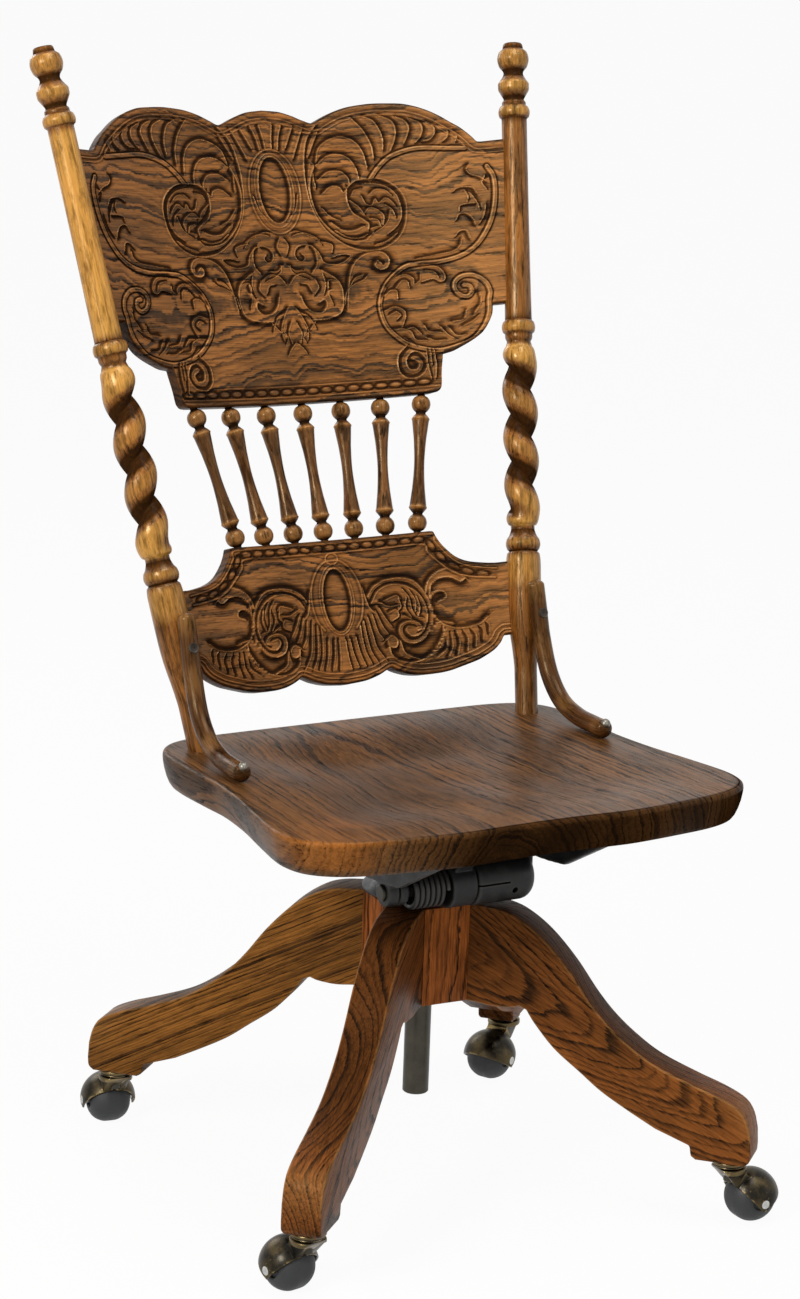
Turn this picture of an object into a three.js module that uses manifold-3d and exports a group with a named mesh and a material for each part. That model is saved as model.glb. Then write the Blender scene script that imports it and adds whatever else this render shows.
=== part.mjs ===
// A tilting, swivelling oak office chair on a four-legged base with ball casters.
// Millimetres, +Z up. The sitter faces -Y. The floor is z = 0 and the origin is under the middle of the chair.
import * as THREE from 'three';
import { mergeVertices } from 'three/addons/utils/BufferGeometryUtils.js';
import Module from 'manifold-3d';

const wasm = await Module();
wasm.setup();

// Clearances
const FIT = 0.3;
const RUNNING = 0.5;
const CUT_OVERRUN = 5;

// Base: four sawn legs round a square bore, with corner blocks between them
const LEG_COUNT = 4;
const BASE_TURN_DEG = -47.8;
const LEG_REACH = 339;
const LEG_THICK = 38;
const LEG_TOP = 291;
const PAD_BOTTOM = 66;
const LEG_EDGE_EASE = 2.5;
const BLOCK_REACH = 54.2;
const BLOCK_BOTTOM = 194;
const HUB_BORE_R = 13;

// Spindle, its guide tube, plate and nut
const TUBE_R = 12.7;
const TUBE_WALL = 2.5;
const TUBE_EASE = 1;
const TUBE_BOTTOM = 87.7;
const PLATE_R = 50;
const PLATE_THICK = 3.5;
const SCREW_R = 9.5;
const SCREW_BOTTOM = 115;
const NUT_R = 24;
const NUT_HIGH = 10;

// Tilt iron: a cross shaft, its bearings, the torsion spring and the seat rails
const SHAFT_Y = -60;
const SHAFT_Z = 317.5;
const SHAFT_R = 8;
const SHAFT_OVERHANG = 3;
const BARREL_R = 23;
const BARREL_LEFT = -15;
const BARREL_RIGHT = 12;
const ARM_R = 14;
const ARM_THICK = 9.5;
const BOSS_R = 22;
const BOSS_HIGH = 39;
const BELL_R = 59;
const BELL_RIM = 2.5;
const BELL_SHOULDER_R = 40;
const BELL_HIGH = 19;
const BELL_WALL = 4.5;
const BEAM_BACK = 47;
const BEAM_DEEP = 24;
const BEAM_HIGH = 18;
const SPRING_TURNS = 6.5;
const SPRING_R = 17.2;
const SPRING_WIRE_R = 2.5;
const SPRING_PITCH = 5.7;
const SPRING_PLAY = 0.475;
const RAIL_X = 90;
const RAIL_WEB = 8;
const RAIL_FLANGE = 22;
const RAIL_FLANGE_THICK = 4.7;
const RAIL_FRONT_Y = -195;
const RAIL_REAR_Y = 120;
const HANGER_DEEP = 24;
const BRIDGE_DEEP = 46;
const BRIDGE_THICK = 12;
const BRIDGE_DROP = 22;
const CLAMP_HUB_R = 24;
const CLAMP_HUB_LONG = 66;
const CLAMP_SLOT = 2;
const CLAMP_SLOT_LONG = 34;
const CLAMP_HOLE_R = 3.2;
const PLAIN_HUB_R = 14;
const PLAIN_HUB_LONG = 12;
const STOP_BAR_DEEP = 12;
const STOP_BAR_HIGH = 6;
const STOP_AHEAD = 30;
const STOP_RISE = 46;
const NOSE_WIDE = 18;
const NOSE_THICK = 10;

// Seat board
const SEAT_TOP = 423;
const SEAT_THICK = 34;
const SEAT_HALF_WIDE = 245;
const SEAT_BACK_Y = 163;
const SEAT_FRONT_Y = -227;
const SEAT_MIDDLE_Y = -30;
const SEAT_UNDERCUT = 9;
const SEAT_TOP_EASE = 5;
const SEAT_DISH = 11;
const SEAT_POMMEL = 7;
const SEAT_POMMEL_HALF_WIDE = 46;
const SEAT_POMMEL_LONG = 110;
const SEAT_SIDES = 42;

// Back: two turned posts in a plane that leans backwards
const BACK_Y = 116.5;
const BACK_RAKE_DEG = 17.56;
const POST_FOOT_X = 184.1;
const POST_SPLAY = 0.1157;
const POST_LONG = 684.5;
const POST_R = 17.5;
const POST_R_AT_CREST = 12.9;
const POST_R_AT_LOWER = 17.2;
const POST_TENON = 24;
const POST_TENON_R = 11.4;
const POST_TENON_EASE = 1;
const POST_SIDES = 14;
const TWIST_BOTTOM = 188;
const TWIST_TOP = 372;
const TWIST_PITCH = 48.5;
const TWIST_FADE = 26;
const TWIST_SWELL = 18;
const TWIST_MIDDLE = 331;
const TWIST_MIDDLE_DEG = -120;
const TWIST_R = 18;
const TWIST_NECK_R = 12;
const TWIST_NECK_LONG = 4.5;
const TWIST_DEPTH_SHARE = 0.5;
const TWIST_STEPS = 30;

// Panels of the back, bent hollow to the sitter
const PANEL_THICK = 18;
const PANEL_EDGE_EASE = 3;
const PANEL_TENON_THICK = 8;
const PANEL_TENON_DEEP = 8;
const PANEL_TENON_INSET = 6;
const PANEL_END_IN = 8;
const CREST_BOTTOM = 331;
const CREST_HIGH = 299;
const CREST_HALF_WIDE = 220;
const CREST_SHOULDER_TOP = 583;
const CREST_SHOULDER_BOTTOM = 415;
const CREST_BEND_R = 468;
const CREST_END_BACK = 3.5;
const LOWER_TOP = 191.5;
const LOWER_HIGH = 144.5;
const LOWER_HALF_WIDE = 173;
const LOWER_SHOULDER_TOP = 153;
const LOWER_SHOULDER_BOTTOM = 79;
const LOWER_BEND_R = 569;
const LOWER_END_BACK = 4.9;

// Balusters between the panels
const BALUSTER_COUNT = 7;
const BALUSTER_PITCH_TOP = 42.3;
const BALUSTER_PITCH_BOTTOM = 34.4;
const BALUSTER_BALL_R = 9.6;
const BALUSTER_WAIST_R = 5.2;
const BALUSTER_TENON_R = 3.6;
const BALUSTER_TENON = 7;
const BALUSTER_SIDES = 8;

// Bent braces from the posts down to the seat
const BRACE_R = 9;
const BRACE_TOP = 130;
const BRACE_LEAVES = 72;
const BRACE_FOOT_INSET = 45;
const BRACE_FOOT_Y = -6;

// Ball casters
const CASTER_STEM_INSET = 24;
const CASTER_TRAIL = 26;
const CASTER_TRAIL_DEG = [-1, 207, 81, 101];
const WHEEL_R = 24.4;
const WHEEL_HALF_WIDE = 20.5;
const WHEEL_SIDES = 16;
const AXLE_R = 4;
const HOOD_R = 27.8;
const HOOD_WALL = 1.6;
const HOOD_TILT_DEG = 42;
const HOOD_TAIL_DEG = 60;
const HOOD_SKIRT = 6.5;
const COLLAR_R = 17;
const COLLAR_THICK = 5.2;
const COLLAR_EASE = 1;
const FLANGE_THICK = 6.8;
const NECK_HALF_WIDE = 11.5;
const STEM_R = 5;
const STEM_LONG = 46;
const SOCKET_R = 6.6;
const SOCKET_LONG = 30;

const OAK_GOLD = { color: 0xb07a32, roughness: 0.35, metalness: 0 };
const OAK_DARK = { color: 0x4c301c, roughness: 0.4, metalness: 0 };
const OAK_SEAT = { color: 0x5a3a20, roughness: 0.3, metalness: 0 };
const OAK_BASE = { color: 0x8a5224, roughness: 0.4, metalness: 0 };
const BLACK_IRON = { color: 0x2e2e2e, roughness: 0.55, metalness: 0.8 };
const STEEL = { color: 0x5a5c5a, roughness: 0.35, metalness: 0.9 };
const BRONZE = { color: 0x4a4434, roughness: 0.35, metalness: 0.85 };
const BRIGHT = { color: 0xb8b8b4, roughness: 0.25, metalness: 0.95 };
const BLACK_TREAD = { color: 0x2b2b2b, roughness: 0.6, metalness: 0 };

const radians = THREE.MathUtils.degToRad;
const vec2 = (x, y) => new THREE.Vector2(x, y);
const vec3 = (x, y, z) => new THREE.Vector3(x, y, z);

// A named mesh with a material of its own
function piece(name, geometry, look) {
  const mesh = new THREE.Mesh(geometry, new THREE.MeshStandardMaterial(look));
  mesh.name = name;
  return mesh;
}

// Welds a geometry, drops collapsed triangles and turns its faces outwards
function welded(geometry) {
  const bare = geometry.clone();
  bare.deleteAttribute('normal');
  bare.deleteAttribute('uv');
  const merged = mergeVertices(bare, 1e-4);
  const place = merged.attributes.position;
  const corners = [];
  let volume = 0;
  const a = vec3(0, 0, 0);
  const b = vec3(0, 0, 0);
  const c = vec3(0, 0, 0);
  for (let i = 0; i < merged.index.count; i += 3) {
    const [p, q, r] = [0, 1, 2].map((k) => merged.index.getX(i + k));
    if (p === q || q === r || r === p) {
      continue;
    }
    corners.push(p, q, r);
    a.fromBufferAttribute(place, p);
    b.fromBufferAttribute(place, q);
    c.fromBufferAttribute(place, r);
    volume += a.dot(b.cross(c));
  }
  if (volume < 0) {
    corners.reverse();
  }
  const result = new THREE.BufferGeometry();
  result.setAttribute('position', place);
  result.setIndex(corners);
  return result;
}

function solidOf(geometry) {
  const clean = welded(geometry);
  const mesh = new wasm.Mesh({
    numProp: 3,
    vertProperties: new Float32Array(clean.attributes.position.array),
    triVerts: new Uint32Array(clean.index.array),
  });
  return new wasm.Manifold(mesh);
}

function geometryOf(solid) {
  const mesh = solid.getMesh();
  const geometry = new THREE.BufferGeometry();
  geometry.setAttribute('position', new THREE.BufferAttribute(mesh.vertProperties, 3));
  geometry.setIndex(new THREE.BufferAttribute(mesh.triVerts, 1));
  return welded(geometry);
}

function joined(...geometries) {
  return geometryOf(geometries.map(solidOf).reduce((sum, next) => sum.add(next)));
}

function cut(geometry, ...tools) {
  const rest = tools.map(solidOf).reduce((left, tool) => left.subtract(tool), solidOf(geometry));
  return geometryOf(rest);
}

function mirrored(geometry) {
  return welded(geometry.clone().scale(-1, 1, 1));
}

// A skin over rings of points, with each end closed by a fan
function lofted(rings) {
  const sides = rings[0].length;
  const places = rings.flat().flatMap((p) => [p.x, p.y, p.z]);
  const corners = [];
  for (let i = 0; i + 1 < rings.length; i++) {
    for (let k = 0; k < sides; k++) {
      const next = (k + 1) % sides;
      const [a, b] = [i * sides + k, i * sides + next];
      const [c, d] = [a + sides, b + sides];
      corners.push(a, b, d, a, d, c);
    }
  }
  const ends = [0, rings.length - 1];
  ends.forEach((end, side) => {
    const middle = rings[end].reduce((sum, p) => sum.add(p), vec3(0, 0, 0)).divideScalar(sides);
    const hub = places.length / 3;
    places.push(middle.x, middle.y, middle.z);
    for (let k = 0; k < sides; k++) {
      const [a, b] = [end * sides + k, end * sides + ((k + 1) % sides)];
      corners.push(...(side === 0 ? [b, a, hub] : [a, b, hub]));
    }
  });
  const geometry = new THREE.BufferGeometry();
  geometry.setAttribute('position', new THREE.Float32BufferAttribute(places, 3));
  geometry.setIndex(corners);
  return welded(geometry);
}

// A turned solid about Z from [radius, height] pairs that run up the outside
function turned(profile, sides) {
  const low = profile[0][1];
  const high = profile[profile.length - 1][1];
  const outline = [vec2(0, low), ...profile.map(([r, z]) => vec2(r, z)), vec2(0, high)];
  return welded(new THREE.LatheGeometry(outline, sides).rotateX(Math.PI / 2));
}

// A turned ring about Z from a closed loop of [radius, height] pairs
function turnedRing(profile, sides) {
  const outline = [...profile, profile[0]].map(([r, z]) => vec2(r, z));
  return welded(new THREE.LatheGeometry(outline, sides).rotateX(Math.PI / 2));
}

function rod(radius, low, high, sides) {
  return turned([[radius, low], [radius, high]], sides);
}

// A rod along X between two places on it
function crossRod(radius, left, right, y, z, sides) {
  return rod(radius, left, right, sides).rotateY(Math.PI / 2).translate(0, y, z);
}

function block(x0, x1, y0, y1, z0, z1) {
  const box = new THREE.BoxGeometry(x1 - x0, y1 - y0, z1 - z0);
  return box.translate((x0 + x1) / 2, (y0 + y1) / 2, (z0 + z1) / 2);
}

// A plate cut from an outline in the YZ plane, from x0 to x1
function sidePlate(outline, x0, x1) {
  const shape = new THREE.Shape(outline.map(([y, z]) => vec2(y, z)));
  const plate = new THREE.ExtrudeGeometry(shape, { depth: x1 - x0, bevelEnabled: false });
  return welded(plate.rotateX(Math.PI / 2).rotateZ(Math.PI / 2).translate(x0, 0, 0));
}

// Back

const back = new THREE.Group();
back.position.set(0, BACK_Y, SEAT_TOP);
back.rotation.x = -radians(BACK_RAKE_DEG);
const postAxisX = (v) => POST_FOOT_X + POST_SPLAY * v;

// Turned stretches of a post below and above its twist: shares of its fullest radius and of its length
const POST_FOOT_SHARES = [
  [0.651, 0.0614], [0.72, 0.0847], [0.937, 0.1329], [0.983, 0.1578], [1, 0.2191], [0.937, 0.2337],
  [0.811, 0.2371], [0.926, 0.2399], [1, 0.2476], [0.937, 0.2554], [0.811, 0.2598],
];
const POST_HEAD_SHARES = [
  [0.789, 0.556], [0.8, 0.5616], [0.926, 0.5648], [0.971, 0.5712], [0.903, 0.5791], [0.783, 0.5823],
  [0.737, 0.886], [0.869, 0.8891], [0.92, 0.8961], [0.834, 0.9034], [0.709, 0.9064], [0.697, 0.9107],
  [0.589, 0.9148], [0.766, 0.9239], [0.903, 0.9312], [0.909, 0.9385], [0.754, 0.9449], [0.566, 0.9549],
  [0.606, 0.9587], [0.811, 0.9651], [0.92, 0.9765], [0.823, 0.987], [0.606, 0.9923], [0.56, 1],
];
const turnedPlaces = (shares) => shares.map(([r, v]) => [r * POST_R, v * POST_LONG]);
// [radius, height] from the tenon in the seat to the twist, and from the twist to the top of the finial
const POST_FOOT_PROFILE = [
  [POST_TENON_R - POST_TENON_EASE, -POST_TENON], [POST_TENON_R, POST_TENON_EASE - POST_TENON],
  ...turnedPlaces(POST_FOOT_SHARES), [TWIST_NECK_R, TWIST_BOTTOM - TWIST_NECK_LONG],
];
const POST_HEAD_PROFILE = [[TWIST_NECK_R, TWIST_TOP + TWIST_NECK_LONG], ...turnedPlaces(POST_HEAD_SHARES)];

// Radius of the twisted stretch: one groove with a sharp root winds round a full, round back
function twistRadius(v, angle) {
  const fromEnd = Math.min(v - TWIST_BOTTOM, TWIST_TOP - v);
  const rise = Math.min(1, fromEnd / TWIST_SWELL);
  const swell = Math.sqrt(1 - (1 - rise) ** 2);
  const fade = THREE.MathUtils.smoothstep(fromEnd, 0, TWIST_FADE);
  const root = radians(TWIST_MIDDLE_DEG) + ((v - TWIST_MIDDLE) / TWIST_PITCH) * 2 * Math.PI;
  const fullness = Math.abs(Math.sin((angle - root) / 2)) ** 0.85;
  const outer = TWIST_NECK_R + (TWIST_R - TWIST_NECK_R) * swell;
  return outer * (1 - TWIST_DEPTH_SHARE * fade * (1 - fullness));
}

function postRing(v, radiusAt) {
  const ring = [];
  for (let k = 0; k < POST_SIDES; k++) {
    const angle = (k / POST_SIDES) * 2 * Math.PI;
    const r = radiusAt(angle);
    ring.push(vec3(r * Math.cos(angle), r * Math.sin(angle), v));
  }
  return ring;
}

// Sets a piece turned about Z on the axis of the left post, in the plane of the back
function ontoLeftPost(geometry) {
  return geometry.rotateY(-Math.atan(POST_SPLAY)).translate(-POST_FOOT_X, 0, 0);
}

function plainLeftPost() {
  const rings = POST_FOOT_PROFILE.map(([r, v]) => postRing(v, () => r));
  for (let i = 0; i <= TWIST_STEPS; i++) {
    const v = TWIST_BOTTOM + ((TWIST_TOP - TWIST_BOTTOM) * i) / TWIST_STEPS;
    rings.push(postRing(v, (angle) => twistRadius(v, angle)));
  }
  rings.push(...POST_HEAD_PROFILE.map(([r, v]) => postRing(v, () => r)));
  return ontoLeftPost(lofted(rings));
}

// The room that an untwisted stretch of the left post takes up, with clearance
function leftPostRoom(profile) {
  return ontoLeftPost(lofted(profile.map(([r, v]) => postRing(v, () => r + FIT))));
}

const crest = {
  bottom: CREST_BOTTOM,
  high: CREST_HIGH,
  halfWide: CREST_HALF_WIDE,
  shoulders: [CREST_SHOULDER_BOTTOM, CREST_SHOULDER_TOP],
  bendR: CREST_BEND_R,
  endBack: CREST_END_BACK,
};
const lower = {
  bottom: LOWER_TOP - LOWER_HIGH,
  high: LOWER_HIGH,
  halfWide: LOWER_HALF_WIDE,
  shoulders: [LOWER_SHOULDER_BOTTOM, LOWER_SHOULDER_TOP],
  bendR: LOWER_BEND_R,
  endBack: LOWER_END_BACK,
};

// Half outlines of the panels, as shares of half width and height: top edge, then bottom edge
const CREST_TOP_SHARES = [
  [0, 1], [0.073, 0.995], [0.141, 0.98], [0.195, 0.962], [0.241, 0.951], [0.286, 0.965], [0.355, 0.987],
  [0.441, 1.002], [0.536, 1.007], [0.614, 1.004], [0.668, 1], [0.727, 0.988], [0.782, 0.97], [0.836, 0.945],
  [0.877, 0.921], [0.909, 0.903], [0.936, 0.883], [0.959, 0.863], [0.979, 0.845], [1, 0.843],
  [1.027, 0.843], [1.05, 0.843],
];
const CREST_BOTTOM_SHARES = [
  [0, 0], [0.073, 0], [0.141, 0], [0.195, 0], [0.241, 0], [0.295, 0], [0.364, 0],
  [0.445, 0], [0.536, 0], [0.609, 0], [0.641, 0.002], [0.661, 0.013], [0.67, 0.057], [0.682, 0.1],
  [0.691, 0.127], [0.736, 0.134], [0.786, 0.149], [0.836, 0.167], [0.877, 0.187], [0.909, 0.216],
  [0.93, 0.247], [0.939, 0.281],
];
const LOWER_TOP_SHARES = [
  [0, 1], [0.12, 1], [0.24, 1], [0.36, 1], [0.46, 1], [0.56, 1], [0.63, 1], [0.659, 0.997], [0.671, 0.965],
  [0.694, 0.913], [0.728, 0.86], [0.77, 0.81], [0.82, 0.776], [0.87, 0.757], [0.92, 0.746], [0.97, 0.737],
  [1.02, 0.733],
];
const LOWER_BOTTOM_SHARES = [
  [0, 0], [0.115, 0.012], [0.208, 0.04], [0.289, 0.08], [0.32, 0.062], [0.358, 0.042], [0.42, 0.02],
  [0.5, 0.01], [0.578, 0.01], [0.65, 0.018], [0.71, 0.034], [0.77, 0.052], [0.83, 0.072], [0.88, 0.098],
  [0.93, 0.132], [0.965, 0.172], [1, 0.221],
];

function bendBack(panel, u, v) {
  return (postAxisX(v) ** 2 - u ** 2) / (2 * panel.bendR) + panel.endBack;
}

// A slab that follows a panel's bend, over columns that each run from one [u, v] up to another
function bentSlab(panel, columns, front, rear, ease) {
  const rings = columns.map(([from, to]) => {
    const tall = Math.hypot(to[0] - from[0], to[1] - from[1]);
    const at = (climb, depth) => {
      const u = from[0] + ((to[0] - from[0]) * climb) / tall;
      const v = from[1] + ((to[1] - from[1]) * climb) / tall;
      return vec3(u, bendBack(panel, u, v) + depth, v);
    };
    const face = [at(0, front + ease), at(ease, front), at(tall - ease, front), at(tall, front + ease)];
    return [...face, at(tall, rear), at(0, rear)];
  });
  return lofted(rings);
}

function bothSides(columns) {
  const other = columns.slice(1).reverse().map((column) => column.map(([u, v]) => [-u, v]));
  return [...other, ...columns];
}

function panelBody(panel, topShares, bottomShares) {
  const place = ([across, up]) => [across * panel.halfWide, panel.bottom + up * panel.high];
  const columns = topShares.map((share, i) => [place(bottomShares[i]), place(share)]);
  const [low, high] = panel.shoulders;
  columns.push([[postAxisX(low) - PANEL_END_IN, low], [postAxisX(high) - PANEL_END_IN, high]]);
  return bentSlab(panel, bothSides(columns), -PANEL_THICK / 2, PANEL_THICK / 2, PANEL_EDGE_EASE);
}

// The left tenon of a panel, or with spare its mortise
function panelTenon(panel, postR, spare) {
  const low = panel.shoulders[0] + PANEL_TENON_INSET - spare;
  const high = panel.shoulders[1] - PANEL_TENON_INSET + spare;
  const column = (inward) => [[inward - postAxisX(low), low], [inward - postAxisX(high), high]];
  const half = PANEL_TENON_THICK / 2 + spare;
  const columns = [column(postR - PANEL_TENON_DEEP - spare), column(postR + PANEL_TENON_DEEP)];
  return bentSlab(panel, columns, -half, half, spare || FIT);
}

function leftPost() {
  const crestMortise = panelTenon(crest, POST_R_AT_CREST, FIT);
  const lowerMortise = panelTenon(lower, POST_R_AT_LOWER, FIT);
  return cut(plainLeftPost(), crestMortise, lowerMortise);
}

// Balusters

// Half a baluster from its end ball: radius and distance from the ball's centre, in shares of its radius
const BALUSTER_SHARES = [
  [0.375, -0.927], [0.708, -0.708], [1, 0], [0.708, 0.708], [0.542, 0.865], [0.552, 1.146], [0.979, 1.667],
  [0.688, 3.75],
];
const BALUSTER_HALF_PROFILE = [
  [BALUSTER_TENON_R, -BALUSTER_BALL_R - BALUSTER_TENON],
  ...BALUSTER_SHARES.map(([r, at]) => [r * BALUSTER_BALL_R, at * BALUSTER_BALL_R]),
];

// Centres of the end balls of a baluster, in the plane of the back
function balusterEnds(index) {
  const step = index - (BALUSTER_COUNT - 1) / 2;
  const [lowU, highU] = [step * BALUSTER_PITCH_BOTTOM, step * BALUSTER_PITCH_TOP];
  const lowV = LOWER_TOP + BALUSTER_BALL_R + FIT;
  const highV = CREST_BOTTOM - BALUSTER_BALL_R - FIT;
  const low = vec3(lowU, bendBack(lower, lowU, lowV), lowV);
  return [low, vec3(highU, bendBack(crest, highU, highV), highV)];
}

// Stands a piece made about Z, with its foot at the origin, on the line between two places
function stood(geometry, from, to) {
  const turn = new THREE.Quaternion().setFromUnitVectors(vec3(0, 0, 1), to.clone().sub(from).normalize());
  return geometry.applyQuaternion(turn).translate(from.x, from.y, from.z);
}

function baluster(index) {
  const [low, high] = balusterEnds(index);
  const long = low.distanceTo(high);
  const upper = BALUSTER_HALF_PROFILE.map(([r, at]) => [r, long - at]).reverse();
  const profile = [...BALUSTER_HALF_PROFILE, [BALUSTER_WAIST_R, long / 2], ...upper];
  return stood(turned(profile, BALUSTER_SIDES), low, high);
}

function balusterHole(index, side) {
  const ends = balusterEnds(index);
  const [near, far] = side === 'top' ? [ends[1], ends[0]] : ends;
  const deep = BALUSTER_BALL_R + BALUSTER_TENON + FIT;
  return stood(rod(BALUSTER_TENON_R + FIT, -deep, 0, BALUSTER_SIDES), near, far);
}

function panel(shape, topShares, bottomShares, postR, holeSide) {
  const holes = [...Array(BALUSTER_COUNT).keys()].map((i) => balusterHole(i, holeSide));
  const leftRoom = leftPostRoom([...POST_FOOT_PROFILE, ...POST_HEAD_PROFILE]);
  const tenon = panelTenon(shape, postR, 0);
  const bodyOnly = cut(panelBody(shape, topShares, bottomShares), leftRoom, mirrored(leftRoom), ...holes);
  return joined(bodyOnly, tenon, mirrored(tenon));
}

const post = leftPost();
back.add(piece('left_back_post', post, OAK_GOLD));
back.add(piece('right_back_post', mirrored(post), OAK_GOLD));
const crestPanel = panel(crest, CREST_TOP_SHARES, CREST_BOTTOM_SHARES, POST_R_AT_CREST, 'top');
const lowerPanel = panel(lower, LOWER_TOP_SHARES, LOWER_BOTTOM_SHARES, POST_R_AT_LOWER, 'bottom');
back.add(piece('crest_panel', crestPanel, OAK_DARK));
back.add(piece('lower_panel', lowerPanel, OAK_DARK));
for (let i = 0; i < BALUSTER_COUNT; i++) {
  back.add(piece(`baluster_${i + 1}`, baluster(i), OAK_GOLD));
}

// Hip braces

// Shares of the way from the foot of the sweep to where the brace leaves the post: along, up
const BRACE_SWEEP_SHARES = [[0.83, 0.5], [0.59, 0.17], [0.29, 0.03]];
const BRACE_SWEEP_FOOT_Y = 18;
const BRACE_SIDES = 8;
const BRACE_STEPS = 13;

function backPlace(u, w, v) {
  const tilt = radians(BACK_RAKE_DEG);
  const [sine, cosine] = [Math.sin(tilt), Math.cos(tilt)];
  return vec3(u, BACK_Y + v * sine + w * cosine, SEAT_TOP + v * cosine - w * sine);
}

function ringShape(radius, sides) {
  const points = [];
  for (let k = 0; k < sides; k++) {
    const angle = (k / sides) * 2 * Math.PI;
    points.push(vec2(radius * Math.cos(angle), radius * Math.sin(angle)));
  }
  return new THREE.Shape(points);
}

function rightBrace() {
  const ahead = -(POST_R + BRACE_R + FIT);
  const topX = postAxisX((BRACE_TOP + BRACE_LEAVES) / 2);
  const footX = SEAT_HALF_WIDE - BRACE_FOOT_INSET;
  const leaves = backPlace(topX, ahead, BRACE_LEAVES);
  const footZ = SEAT_TOP + BRACE_R + FIT;
  const sweep = BRACE_SWEEP_SHARES.map(([along, up]) =>
    vec3(
      THREE.MathUtils.lerp(footX, leaves.x, along),
      THREE.MathUtils.lerp(BRACE_SWEEP_FOOT_Y, leaves.y, along),
      THREE.MathUtils.lerp(footZ, leaves.z, up),
    ),
  );
  const path = new THREE.CatmullRomCurve3([
    backPlace(topX, ahead, BRACE_TOP),
    backPlace(topX, ahead, (BRACE_TOP + BRACE_LEAVES) / 2),
    leaves,
    ...sweep,
    vec3(footX, BRACE_SWEEP_FOOT_Y, footZ),
    vec3(footX, BRACE_FOOT_Y, footZ),
  ]);
  const settings = { steps: BRACE_STEPS, extrudePath: path, bevelEnabled: false };
  return welded(new THREE.ExtrudeGeometry(ringShape(BRACE_R, BRACE_SIDES), settings));
}

const brace = rightBrace();
const seatFrame = new THREE.Group();
seatFrame.add(back);
seatFrame.add(piece('right_hip_brace', brace, OAK_GOLD));
seatFrame.add(piece('left_hip_brace', mirrored(brace), OAK_GOLD));

// Seat

// Half outline of the seat from its back round to its front: shares of half width and of depth
const SEAT_SHARES = [
  [0, 1], [0.25, 0.999], [0.504, 0.997], [0.693, 0.991], [0.819, 0.965], [0.891, 0.91], [0.916, 0.826],
  [0.916, 0.697], [0.912, 0.595], [0.933, 0.467], [0.966, 0.351], [0.996, 0.236], [1, 0.172], [0.975, 0.113],
  [0.908, 0.069], [0.798, 0.038], [0.63, 0.018], [0.387, 0], [0.168, 0.004], [0, 0.006],
];

function seatOutline() {
  const deep = SEAT_BACK_Y - SEAT_FRONT_Y;
  const half = SEAT_SHARES.map(([x, y]) => vec3(x * SEAT_HALF_WIDE, SEAT_FRONT_Y + y * deep, 0));
  const other = half.slice(1, -1).reverse().map((p) => vec3(-p.x, p.y, 0));
  const curve = new THREE.CatmullRomCurve3([...half, ...other], true);
  return curve.getSpacedPoints(SEAT_SIDES).slice(0, SEAT_SIDES);
}

// Height of the hollowed top, where share runs from 0 in the middle to 1 at the edge
function seatTopAt(x, y, share) {
  const hollow = 1 - THREE.MathUtils.smoothstep(share, 0.3, 0.9);
  const towardsFront = THREE.MathUtils.smoothstep(SEAT_MIDDLE_Y - y, 0, SEAT_POMMEL_LONG);
  const ridge = Math.exp(-((x / SEAT_POMMEL_HALF_WIDE) ** 2)) * towardsFront;
  return SEAT_TOP - SEAT_DISH * hollow + SEAT_POMMEL * ridge * hollow;
}

function seatRing(outline, inset, share, heightAt) {
  return outline.map((p) => {
    const [dx, dy] = [p.x, p.y - SEAT_MIDDLE_Y];
    const scale = share * (1 - inset / Math.hypot(dx, dy));
    const [x, y] = [dx * scale, SEAT_MIDDLE_Y + dy * scale];
    return vec3(x, y, heightAt(x, y));
  });
}

function seat() {
  const outline = seatOutline();
  const bottom = SEAT_TOP - SEAT_THICK;
  const rings = [
    seatRing(outline, SEAT_UNDERCUT, 1, () => bottom),
    seatRing(outline, SEAT_UNDERCUT / 4, 1, () => bottom + SEAT_THICK / 3),
    seatRing(outline, 0, 1, () => bottom + SEAT_THICK * 0.62),
    seatRing(outline, SEAT_TOP_EASE / 4, 1, () => SEAT_TOP - SEAT_TOP_EASE),
    seatRing(outline, SEAT_TOP_EASE, 1, () => SEAT_TOP),
    ...[0.88, 0.74, 0.56, 0.36, 0.16].map((share) =>
      seatRing(outline, 0, share, (x, y) => seatTopAt(x, y, share)),
    ),
  ];
  back.updateMatrix();
  const leftHole = leftPostRoom([[POST_TENON_R, -POST_TENON - FIT], [POST_TENON_R, 2 * CUT_OVERRUN]]);
  leftHole.applyMatrix4(back.matrix);
  return cut(lofted(rings), leftHole, mirrored(leftHole));
}

seatFrame.add(piece('seat_board', seat(), OAK_SEAT));

// Tilt iron that turns with the seat: rails with a hub on each, shaft and stop bar

// The head's arm stands as far left of its barrel as the spring is long
const springLong = SPRING_TURNS * SPRING_PITCH + 2 * SPRING_WIRE_R;
const armInner = BARREL_LEFT - springLong - 2 * SPRING_PLAY;
const armOuter = armInner - ARM_THICK;

const railTop = SEAT_TOP - SEAT_THICK - FIT;
const railDeep = RAIL_REAR_Y - RAIL_FRONT_Y;
const railDrop = railTop - SHAFT_Z;
// Lower edge of a rail's web from front to rear: share of its length, share of the drop to the shaft
const RAIL_WEB_SHARES = [
  [0.01, 0.09], [0.265, 0.705], [0.35, 0.755], [0.47, 0.8], [0.585, 0.61], [0.75, 0.3], [0.99, 0.12],
];

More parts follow.
